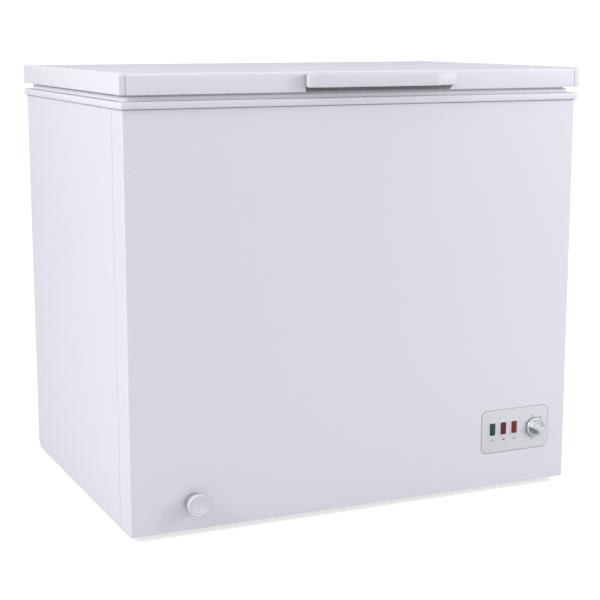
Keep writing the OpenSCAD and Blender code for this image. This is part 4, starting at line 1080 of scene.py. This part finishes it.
@dataclass
class Handle:
    """Bar that stands off the lid at the left and sweeps to it at the right, its foot, whose grey partly paints
    shade, and its dark strip of painted shadow.
    """

    reach: float = 0.025
    bar_depth: float = 0.0105
    foot_length: float = 0.026
    sweep: float = 0.050
    end: float = 0.003
    bow_length: float = 0.026
    bow_depth: float = 0.0075
    edge: float = 0.0022
    strip: float = 0.0008

    def __post_init__(self) -> None:
        """Takes the handle's ends, heights and root from the frame."""
        low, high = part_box("lid_handle")
        self.x0, self.x1, self.z0, self.z1 = low.x, high.x, low.z, high.z
        self.root = high.y

    def build(self) -> None:
        """Makes the bar, its foot and the dark strip of painted shadow behind it."""
        self._bar()
        self._foot()
        self._painted_shadow_strip()

    def _stations(self, bend: float) -> np.ndarray:
        """Places of the bar's sections along X, close together where it bends.

        Args:
            bend: Where the bar turns towards the lid.

        Returns:
            The places, from left to right.
        """
        x0, x1, end = self.x0, self.x1, self.end
        return np.concatenate([
            x0 + end * (1 - np.cos(np.linspace(0, math.pi / 2, 5))),
            np.linspace(x0 + end + 0.002, x0 + self.bow_length, 9),
            np.linspace(x0 + 0.05, bend - 0.006, 5),
            bend + 0.005 * np.linspace(-1, 1, 7),
            [bend + 0.009],
            np.linspace(bend + 0.012, x1 - 0.002, 10),
            [x1 - 0.0006],
        ])

    def _bar(self) -> None:
        """Bar: rounded sections along X between a front line and a back line.

        The front line bows back at the left by the square of the distance, turns
        at the bend and falls to the lid; the back line leaves room for the fingers.
        """
        x0, x1, z0, z1, end, reach = self.x0, self.x1, self.z0, self.z1, self.end, self.reach
        bend = x1 - self.sweep
        x = self._stations(bend)
        bowed = np.clip((x0 + self.bow_length - x) / self.bow_length, 0, 1)
        fall = np.interp(x - bend, (-0.004, -0.001, 0.001, 0.009, 0.012, self.sweep),
                         (0.0, 0.0004, 0.0014, 0.0092, 0.0112, reach - 0.002))
        front = reach - self.bow_depth * bowed ** 2 - fall
        inside = np.interp(x, [bend - 0.008, x1 - 0.024], [reach - self.bar_depth, 0.0])
        shrink = np.where(x < x0 + end, end - np.sqrt(np.maximum(end ** 2 - (x0 + end - x) ** 2, 0)), 0)
        front = np.maximum(front - shrink, 0.0012)
        behind = np.minimum(np.maximum(inside, 0.0), front - 0.001)
        sections = []
        for place, out, back, pull in zip(x, front, behind, shrink):
            soft = min(self.edge, (out - back) * 0.45)
            sections.append(along_x(rounded([
                (self.root - back, z0 + pull, min(0.001, soft)), (self.root - out, z0 + pull, soft),
                (self.root - out, z1 - pull, soft), (self.root - back, z1 - pull, min(0.001, soft)),
            ], 5), place))
        bar = Shape().add(np.stack(sections)).piece("handle_bar", math.radians(50))
        fit(bar, "lid", HANDLE, "white_plastic", "lid_handle")

    def _foot(self) -> None:
        """Foot between the bar's left end and the lid: one outline in plan, with soft ends. Its grey paints the
        shade at the bar's left end.
        """
        x0, z0, z1, root = self.x0, self.z0, self.z1, self.root
        left, right = x0 + 0.0012, x0 + self.foot_length
        front = root - self.reach + self.bar_depth + 0.0005
        foot = rounded([(left, root, 0.0004), (right, root, 0.0004), (right, front, 0.002),
                        (left, front, 0.0015)], 5)
        centre = foot.mean(0)
        rows = []
        for inset, height in ((0.0006, z0 + 0.0008), (0, z0 + 0.0014), (0, z1 - 0.0014), (0.0006, z1 - 0.0008)):
            ring = centre + (foot - centre) * (1 - inset / 0.012)
            rows.append(np.concatenate([ring, np.full((len(ring), 1), height)], axis=1))
        fit(Shape().add(np.stack(rows)).piece("handle_foot"), "lid", GREY_PLASTIC_AND_SHADOW, "grey_plastic")

    def _painted_shadow_strip(self) -> None:
        """Painted shadow: a dark strip on the lid behind the fingers, from the lid's lower edge to behind the
        bar, where the bar keeps light off the lid.
        """
        x0, x1, z0, root = self.x0, self.x1, self.z0, self.root
        low, top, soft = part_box("lid_outer_panel")[0].z + 0.0004, z0 + 0.006, 0.0006
        outline = rounded([(x0 + 0.004, low, soft), (x1 - 0.014, low, soft), (x1 - 0.006, z0, soft),
                           (x1 - 0.012, top, soft), (x0 + 0.004, top, soft)], 4)
        rows = [np.stack([outline[:, 0], np.full(len(outline), y), outline[:, 1]], -1)
                for y in (root + 0.0002, root - self.strip)]
        fit(Shape().add(np.stack(rows)).piece("grip_strip"), "lid", PAINTED_SHADOW_STRIP, "grey_plastic")


# ---------------------------------------------------------------- control panel


LAMPS = ("green_lamp", "left_red_lamp", "right_red_lamp")


def middle_x(node: str) -> float:
    """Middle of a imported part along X."""
    low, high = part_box(node)
    return (low.x + high.x) / 2


@dataclass
class ControlPanel:
    """Plate, bezels, lenses and printed marks."""

    corner: float = 0.012
    edge: float = 0.0007
    flange: float = 0.006
    proud: float = 0.0012
    seam: float = 0.0011
    mark_radius: float = 0.0245
    mark_height: float = 0.0046
    mark_count: int = 7
    sign_drop: float = 0.0108
    sign_shift: float = 0.0015
    sign_size: float = 0.0020
    line: float = 0.0007
    print_depth: float = 0.00012

    def __post_init__(self) -> None:
        """Takes the plate's and the lenses' places from the frame."""
        low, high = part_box("control_panel")
        lens_low, lens_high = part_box(LAMPS[0])
        self.half_x = (high.x - low.x) / 2 - self.flange
        self.half_z = (high.z - low.z) / 2 - self.flange
        self.x, self.z = (low.x + high.x) / 2, (low.z + high.z) / 2
        self.face = low.y
        self.lens_half = ((lens_high.x - lens_low.x) / 2, (lens_high.z - lens_low.z) / 2)
        self.lens_z = (lens_low.z + lens_high.z) / 2

    def build(self) -> None:
        """Makes every piece of the panel but the knob."""
        self._plate()
        self._bezels()
        self._lens("green_lens", "green_lamp", GREEN_LENS, "green_lens")
        self._lens("dark_red_lens", "left_red_lamp", DARK_RED_LENS, "dark_red_lens")
        self._lens("red_lens", "right_red_lamp", RED_LENS, "red_lens")
        self._marks()
        self._signs()

    def _plate(self) -> None:
        """Plate with a soft edge, and a thin dark line round it: painted shadow of the gap at its edge."""
        e = self.edge
        sheet_face = self.face + self.proud
        rings = [Ring(self.half_x, self.half_z, self.corner, -0.001)]
        rings += [Ring(self.half_x - e + e * math.cos(a), self.half_z - e + e * math.cos(a), self.corner,
                       self.proud - e + e * math.sin(a)) for a in np.linspace(0, math.pi / 2, 4)]
        grid = facing_front(ring_grid(rings), self.x, sheet_face, self.z)
        fit(Shape().add(grid).piece("panel_plate"), "cabinet", PANEL, "panel_plastic", "control_panel")
        w = self.seam
        seam = [Ring(self.half_x + out, self.half_z + out, self.corner + out, up)
                for out, up in ((0, -0.0005), (w, -0.0005), (w, 0.00025), (w * 0.5, 0.0004), (0, 0.00025))]
        grid = facing_front(ring_grid(seam), self.x, sheet_face, self.z)
        fit(Shape().add(grid, wrap=True).piece("panel_seam"), "cabinet", PAINTED_SEAM_SHADOW, "grey_plastic")

    def _bezels(self) -> None:
        """Three raised frames: rings that rise, roll over and drop to the lens."""
        hx, hz = self.lens_half
        shape = Shape()
        rise = 0.0015
        rows = ((0.003, 0.0045, 0.004, 0), (0.003, 0.0045, 0.004, 0.0007),
                (0.0027, 0.0042, 0.0037, 0.0012), (0.0020, 0.0034, 0.0032, rise),
                (0.0010, 0.0018, 0.0022, rise), (0.0005, 0.0007, 0.0016, 0.0012),
                (0.0003, 0.0003, 0.0012, 0.0006), (0.0003, 0.0003, 0.0012, -0.0008))
        rings = [Ring(hx + dx, hz + dz, r, up) for dx, dz, r, up in rows]
        for node in LAMPS:
            shape.add(facing_front(ring_grid(rings, 6), middle_x(node), self.face, self.lens_z), wrap=True)
        fit(shape.piece("lamp_frames"), "cabinet", PLASTIC, "white_plastic", "lamp_bezels")

    def _lens(self, name: str, node: str, finish: Finish, slot: str) -> None:
        """Lens with a crowned face and a narrow rounded edge.

        Args:
            name: Name of the piece.
            node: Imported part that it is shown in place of.
            finish: Its finish.
            slot: The record's material slot.
        """
        hx, hz = self.lens_half
        low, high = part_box(node)
        out, deep = self.face - low.y, self.face - high.y
        rows = ((0, deep, 0.0018), (0, out - 0.0016, 0.0018), (0.0004, out - 0.0007, 0.0018),
                (0.0012, out - 0.0003, 0.0016), (0.003, out - 0.0001, 0.001), (0.0055, out, 0.0005))
        rings = [Ring(hx - inset, hz - inset, r, up) for inset, up, r in rows]
        grid = facing_front(ring_grid(rings, 5), middle_x(node), self.face, self.lens_z)
        fit(Shape().add(grid).piece(name), "cabinet", finish, slot, node)

    def _digit(self, shape: Shape, text: str, x: float, z: float) -> None:
        """Adds one printed figure, made a mesh before it is placed.

        Args:
            shape: Shape that gathers the print.
            text: The figure.
            x: Its middle across.
            z: Its middle up.
        """
        curve = bpy.data.curves.new("print", "FONT")
        curve.body = text
        curve.align_x, curve.align_y = "CENTER", "CENTER"
        curve.size = self.mark_height * 1.4
        curve.extrude = self.print_depth / 2
        holder = linked("print", curve)
        mesh = bpy.data.meshes.new_from_object(holder)
        points = np.zeros(len(mesh.vertices) * 3, np.float32)
        mesh.vertices.foreach_get("co", points)
        placed = facing_front(points.reshape(-1, 3), x, self.face - self.print_depth / 2, z)
        shape.add_mesh(placed, [list(face.vertices) for face in mesh.polygons])
        bpy.data.objects.remove(holder)
        bpy.data.curves.remove(curve)
        bpy.data.meshes.remove(mesh)

    def _marks(self) -> None:
        """Marks round the knob: 0 at the right and the others clockwise, at even steps."""
        knob = Knob()
        shape = Shape()
        for k in range(self.mark_count):
            a = -2 * math.pi * k / self.mark_count
            x = knob.x + self.mark_radius * math.cos(a)
            z = knob.z + self.mark_radius * math.sin(a)
            self._digit(shape, str(k), x, z)
        fit(shape.piece("dial_marks"), "cabinet", PRINT, "grey_plastic")

    def _stroke(self, shape: Shape, points: np.ndarray, x: float, closed: bool = False) -> None:
        """Adds a printed stroke: a thin bar along points, pressed almost flat.

        Args:
            shape: Shape that gathers the print.
            points: Rows across and up, from the sign's middle.
            x: The sign's middle across.
            closed: True for a stroke that returns to its start.
        """
        z = self.lens_z - self.lens_half[1] - self.sign_drop
        grid = tube(np.concatenate([points, np.zeros((len(points), 1))], axis=1), self.line / 2, 6, closed)
        grid[..., 2] *= self.print_depth / self.line
        placed = facing_front(grid, x, self.face - self.print_depth / 2, z)
        shape.add(placed, wrap=closed)

    def _signs(self) -> None:
        """Signs under the lamps: mains, running and fast freezing, each between two dashes."""
        shape = Shape()
        size, gap = self.sign_size, math.radians(40)
        power, running, freezing = [middle_x(node) + self.sign_shift for node in LAMPS]

        def arc(radius: float, angles: np.ndarray) -> np.ndarray:
            """Points at one distance from the sign's middle."""
            return radius * np.stack([np.cos(angles), np.sin(angles)], 1)

        def dashes(x: float) -> None:
            """Adds the dashes on both sides of a sign."""
            for side in (-1, 1):
                self._stroke(shape, np.array([[side * 0.0030, 0], [side * 0.0040, 0], [side * 0.0056, 0]]), x)

        dashes(power)
        self._stroke(shape, arc(size, np.linspace(math.pi / 2 + gap, 5 * math.pi / 2 - gap, 20)), power)
        self._stroke(shape, np.array([[0, size * 0.2], [0, size * 0.7], [0, size * 1.2]]), power)
        dashes(running)
        round_turn = np.linspace(0, 2 * math.pi, 24, endpoint=False)
        self._stroke(shape, arc(size, round_turn), running, True)
        self._stroke(shape, arc(size * 0.45, round_turn), running, True)
        dashes(freezing)
        for a in math.pi / 2 + math.pi * np.arange(3) / 3:
            spoke = np.array([[-1.0], [0.0], [1.0]]) * size * 1.15 * np.array([[math.cos(a), math.sin(a)]])
            self._stroke(shape, spoke, freezing)
        fit(shape.piece("lamp_signs"), "cabinet", PRINT, "grey_plastic")


@dataclass
class Knob:
    """Thermostat knob: dark ring and lower half of the dish in painted shade, dished skirt and grip ridge."""

    ridge_turn: float = math.radians(32)
    ridge_top: float = 0.0025
    grip: float = 0.010
    overlap: float = 0.002
    steps: int = 72

    def __post_init__(self) -> None:
        """Takes the knob's place and size from the frame."""
        low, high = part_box("thermostat_knob")
        self.x, self.z = (low.x + high.x) / 2, (low.z + high.z) / 2
        self.radius = (high.x - low.x) / 2
        self.depth = high.y - low.y
        self.back = high.y
        self.skirt = self.depth - self.grip
        self.inner = self.radius - 0.0012

    def build(self) -> None:
        """Makes every piece of the knob."""
        self._ring()
        self._skirt()
        self._painted_shade_half()
        self._ridge()

    def _placed(self, grid: np.ndarray) -> np.ndarray:
        """The grid, facing the front at the knob's place."""
        return facing_front(grid, self.x, self.back, self.z)

    def _ring(self) -> None:
        """Dark ring round the foot of the skirt: painted shade at the skirt's edge."""
        r, near, height = self.radius, self.inner - self.overlap, self.skirt * 0.42
        rim = rounded([(near, 0, 0.0002), (r, 0, 0.0004), (r, height, 0.0006), (near, height, 0.0002)], 4)
        ring = Shape().add(self._placed(turned(rim, self.steps)), wrap=True)
        fit(ring.piece("knob_ring"), "thermostat_dial", PAINTED_KNOB_SHADE, "silver_knob")

    def _skirt(self) -> None:
        """Skirt with a dished face."""
        r, inner, skirt = self.radius, self.inner, self.skirt
        body = rounded([
            (0, 0.0005, 0), (inner, 0.0005, 0.0004), (inner, skirt * 0.5, 0.0012), (r * 0.86, skirt, 0.0012),
            (r * 0.80, skirt, 0.0008), (r * 0.75, skirt - 0.0022, 0.0012), (0, skirt - 0.0026, 0),
        ], 5)
        shape = Shape().add(self._placed(turned(body, self.steps)), caps=False)
        fit(shape.piece("knob_skirt"), "thermostat_dial", SILVER, "silver_knob", "thermostat_knob")

    def _painted_shade_half(self) -> None:
        """Painted shade: the half of the dish below the ridge is dark, standing in for the shade in the dish;
        it turns with the knob.
        """
        r, skirt, count = self.radius, self.skirt, 32
        a = np.linspace(-math.pi, 0, count) - self.ridge_turn
        rows = [np.stack([out * np.cos(a), out * np.sin(a), np.full(count, height)], -1)
                for out, height in ((0.0005, skirt - 0.0021), (r * 0.71, skirt - 0.0019),
                                    (r * 0.74, skirt - 0.0024))]
        recess = Shape().add(self._placed(np.stack(rows)))
        fit(recess.piece("knob_painted_shade_half"), "thermostat_dial", PAINTED_KNOB_SHADE, "silver_knob")

    def _ridge(self) -> None:
        """Ridge: sections along its length that widen and roll down towards both ends."""
        skirt = self.skirt
        along = np.concatenate([np.linspace(-1, -0.86, 6), np.linspace(-0.8, 0.8, 13), np.linspace(0.86, 1, 6)])
        low, rise = skirt * 0.6, self.depth - self.ridge_top - skirt * 0.6
        rows = []
        for s in along:
            close = max(0.0, (abs(s) - 0.82) / 0.18)
            roll = math.sqrt(max(0.0, 1 - close ** 2))
            top = low + rise * (0.35 + 0.65 * roll)
            half = (0.0046 + 0.0014 * s ** 2) * (0.55 + 0.45 * roll)
            soft = min(0.0018, half * 0.6)
            section = rounded([(-half - 0.0009, skirt * 0.5, 0.0002), (half + 0.0009, skirt * 0.5, 0.0002),
                               (half, top, soft), (-half, top, soft)], 5)
            place = np.full(len(section), s * self.radius * 0.86)
            rows.append(np.stack([place, section[:, 0], section[:, 1]], -1))
        grid = np.stack(rows)
        c, n = math.cos(-self.ridge_turn), math.sin(-self.ridge_turn)
        grid = np.stack([grid[..., 0] * c - grid[..., 1] * n, grid[..., 0] * n + grid[..., 1] * c,
                         grid[..., 2]], -1)
        ridge = Shape().add(self._placed(grid))
        fit(ridge.piece("knob_grip"), "thermostat_dial", SILVER, "silver_knob")


# ---------------------------------------------------------------- drain


@dataclass
class Drain:
    """Knob of the drain at the front and the plug in the floor of the well."""

    face_depth: float = 0.0075
    overlap: float = 0.0005
    notch_turn: float = math.radians(235)
    notch_width: float = 0.1
    notch_depth: float = 0.0016
    rim: float = 0.003
    steps: int = 96
    plug_head: float = 0.012

    def __post_init__(self) -> None:
        """Takes the knob's place and size from the frame."""
        low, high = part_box("drain_knob")
        self.x, self.z = (low.x + high.x) / 2, (low.z + high.z) / 2
        self.radius, self.length = (high.x - low.x) / 2, high.y - low.y
        self.back = high.y

    def build(self) -> None:
        """Makes the knob's barrel, its face and the floor plug."""
        self._barrel()
        self._face()
        self._floor_plug()

    def _barrel(self) -> None:
        """Barrel behind the knob's face, a little narrower towards the cabinet. Its grey paints the shade on
        the barrel's side.
        """
        r, end = self.radius, self.length - self.face_depth + self.overlap
        barrel = rounded([(0, 0, 0), (r - 0.0022, 0, 0.0008), (r - 0.0016, end, 0.0003), (0, end, 0)], 4)
        shape = Shape().add(facing_front(turned(barrel), self.x, self.back, self.z), caps=False)
        fit(shape.piece("drain_barrel"), "drain_cap", GREY_PLASTIC_AND_SHADOW, "grey_plastic", "drain_knob")

    def _face(self) -> None:
        """Turned face whose rim has one notch.

        The rim moves inwards by the notch's depth times 1 - (angle / width) ** 2,
        and only what lies outside the rim's inner edge moves.
        """
        r, long, edge = self.radius, self.length, self.length - self.face_depth
        face = rounded([
            (0, edge, 0), (r, edge, 0.0006), (r, long, 0.0012), (r - 0.0026, long, 0.0008),
            (r - 0.0034, long - 0.0013, 0.0006), (r * 0.71, long - 0.0013, 0.0004),
            (r * 0.67, long - 0.0004, 0.0005), (r * 0.62, long - 0.0012, 0.0006),
            (r * 0.34, long - 0.0028, 0.002), (r * 0.28, long - 0.0022, 0.0004),
            (r * 0.2, long - 0.0022, 0.0004), (r * 0.16, long - 0.0028, 0.0003), (0, long - 0.0028, 0),
        ], 5)
        grid = turned(face, self.steps)
        a = np.linspace(0, 2 * math.pi, self.steps, endpoint=False)
        away = np.abs((a - self.notch_turn + math.pi) % (2 * math.pi) - math.pi)
        bite = self.notch_depth * np.clip(1 - (away / self.notch_width) ** 2, 0, 1)
        reach = np.linalg.norm(grid[..., :2], axis=-1)
        share = np.clip((reach - (r - self.rim)) / 0.002, 0, 1)
        scale = 1 - share * bite / np.maximum(reach, 1e-6)
        grid[..., :2] *= scale[..., None]
        shape = Shape().add(facing_front(grid, self.x, self.back, self.z), caps=False)
        fit(shape.piece("drain_face"), "drain_cap", PLASTIC, "white_plastic")

    def _floor_plug(self) -> None:
        """Floor plug: a turned cap with a finger grip and a stem."""
        low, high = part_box("floor_drain_plug")
        x, y = (low.x + high.x) / 2, (low.y + high.y) / 2
        r, top = (high.x - low.x) / 2, high.z - low.z
        stem = top - self.plug_head
        profile = rounded([
            (0, 0, 0), (0.0075, 0, 0.001), (0.0082, stem, 0.0003), (r, stem, 0.0006), (r, stem + 0.0045, 0.002),
            (0.0055, stem + 0.005, 0.001), (0.0036, stem + 0.0075, 0.0012), (0.005, top - 0.0022, 0.001),
            (0.0045, top, 0.0012), (0, top, 0),
        ], 5)
        grid = turned(profile, 48) + np.array([x, y, low.z])
        fit(Shape().add(grid, caps=False).piece("floor_plug_cap"), "floor_plug", PLASTIC, "white_plastic",
            "floor_drain_plug")


# ---------------------------------------------------------------- basket


@dataclass
class Basket:
    """Wire basket: a frame, loops, bent cross wires and the two hooks."""

    frame_wire: float = 0.0025
    mesh_wire: float = 0.0015
    hook: float = 0.022
    hook_in: float = 0.030
    hook_bend: float = 0.006
    rim_drop: float = 0.0233
    pitch: float = 0.046
    corner: float = 0.012
    levels: int = 4

    def __post_init__(self) -> None:
        """Takes the basket's outline without its hooks from the frame."""
        low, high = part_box("wire_basket")
        self.x0, self.x1 = low.x, high.x
        self.y0, self.y1 = low.y + self.hook, high.y - self.hook
        self.z0, self.top = low.z, high.z - self.frame_wire
        self.rim = high.z - self.rim_drop
        self.shape = Shape()

    def build(self) -> None:
        """Makes the basket as one piece of welded wires."""
        t, z0 = self.mesh_wire, self.z0
        self._loop(self.rim, self.frame_wire)
        for k in range(1, self.levels):
            self._loop(z0 + t + k * (self.rim - z0) / self.levels, t)
        self._cross_wires()
        self._hooks()
        fit(self.shape.piece("basket_wires"), "basket", WIRE, "coated_wire", "wire_basket")

    def _loop(self, height: float, wire: float) -> None:
        """Adds a closed wire of the given radius round the basket."""
        ring = Ring((self.x1 - self.x0) / 2 - wire, (self.y1 - self.y0) / 2 - wire, self.corner, height,
                    (self.x0 + self.x1) / 2, (self.y0 + self.y1) / 2)
        self.shape.add(tube(ring_grid([ring], 6)[0], wire, 10, closed=True), wrap=True)

    def _places(self, start: float, end: float) -> np.ndarray:
        """Places of the cross wires between two sides, at about the pitch."""
        count = math.ceil((end - start) / self.pitch)
        return np.linspace(start + self.corner, end - self.corner, count + 1)

    def _cross_wires(self) -> None:
        """Adds the wires bent round the bottom, those along X under those along Y."""
        t, rim, x0, x1, y0, y1 = self.mesh_wire, self.rim, self.x0, self.x1, self.y0, self.y1
        lower, upper = self.z0 + t, self.z0 + 3 * t
        paths = [((x, y0 + t, rim), (x, y0 + t, lower), (x, y1 - t, lower), (x, y1 - t, rim))
                 for x in self._places(x0, x1)]
        paths += [((x0 + t, y, rim), (x0 + t, y, upper), (x1 - t, y, upper), (x1 - t, y, rim))
                  for y in self._places(y0, y1)]
        for corners in paths:
            self.shape.add(tube(bent_path(corners, self.corner), t, 8))

    def _hooks(self) -> None:
        """Adds the two wires that rise from the frame and reach out over the trim."""
        f, rim, top = self.frame_wire, self.rim, self.top
        x0, x1 = self.x0 + self.hook_in, self.x1 - self.hook_in
        for y, out in ((self.y0 + f, -self.hook), (self.y1 - f, self.hook)):
            path = bent_path([(x0, y, rim), (x0, y, top), (x0, y + out, top), (x1, y + out, top), (x1, y, top),
                              (x1, y, rim)], self.hook_bend)
            self.shape.add(tube(path, f, 10))


# ---------------------------------------------------------------- back and base


@dataclass
class Springs:
    """Coil springs of the two hinges."""

    wire: float = 0.0009
    turns: int = 18
    steps: int = 16

    def build(self) -> None:
        """Makes both springs: helices whose ends lie almost flat."""
        low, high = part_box("hinge_springs")
        radius = (high.y - low.y) / 2 - self.wire
        y = (high.y + low.y) / 2
        inner = high.x - radius - self.wire
        shape = Shape()
        t = np.linspace(0, 1, self.turns * self.steps)
        lift = np.interp(t, [0, 0.08, 0.92, 1], [0, 0.02, 0.98, 1])
        height = low.z + self.wire + (high.z - low.z - 2 * self.wire) * lift
        a = 2 * math.pi * self.turns * t
        for x in (-inner, inner):
            path = np.stack([x + radius * np.cos(a), y + radius * np.sin(a), height], 1)
            shape.add(tube(path, self.wire, 6))
        fit(shape.piece("hinge_coils"), "cabinet", STEEL, "steel", "hinge_springs")


@dataclass(frozen=True)
class SoftPart:
    """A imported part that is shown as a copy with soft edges."""

    node: str
    name: str
    body: str
    finish: Finish
    slot: str
    width: float


SOFT_PARTS = (
    SoftPart("hinge_covers", "hinge_caps", "cabinet", PLASTIC, "white_plastic", 0.0015),
    SoftPart("wall_spacers", "rear_spacers", "cabinet", BLACK_PLASTIC, "black_plastic", 0.0012),
    SoftPart("side_grille", "vent_grille", "cabinet", PLASTIC, "white_plastic", 0.0005),
    SoftPart("left_foot", "left_levelling_foot", "left_foot", RUBBER, "rubber", 0.001),
    SoftPart("right_foot", "right_levelling_foot", "right_foot", RUBBER, "rubber", 0.001),
    SoftPart("left_roller", "left_wheel", "left_roller", ROLLER, "roller_plastic", 0.0008),
    SoftPart("right_roller", "right_wheel", "right_roller", ROLLER, "roller_plastic", 0.0008),
)


def build_soft_parts() -> None:
    """Makes the copies with soft edges."""
    for part in SOFT_PARTS:
        obj = softened_copy(part.node, part.name, part.width)
        fit(obj, part.body, part.finish, part.slot, part.node)


def main() -> None:
    """Builds the studio and every sub-assembly."""
    logging.basicConfig(level=logging.INFO, format="%(message)s")
    Studio().build()
    dress_packed_parts()
    for assembly in (Cabinet(), Lid(), Handle(), ControlPanel(), Knob(), Drain(), Basket(), Springs()):
        assembly.build()
    build_soft_parts()


if __name__ == "__main__":
    main()
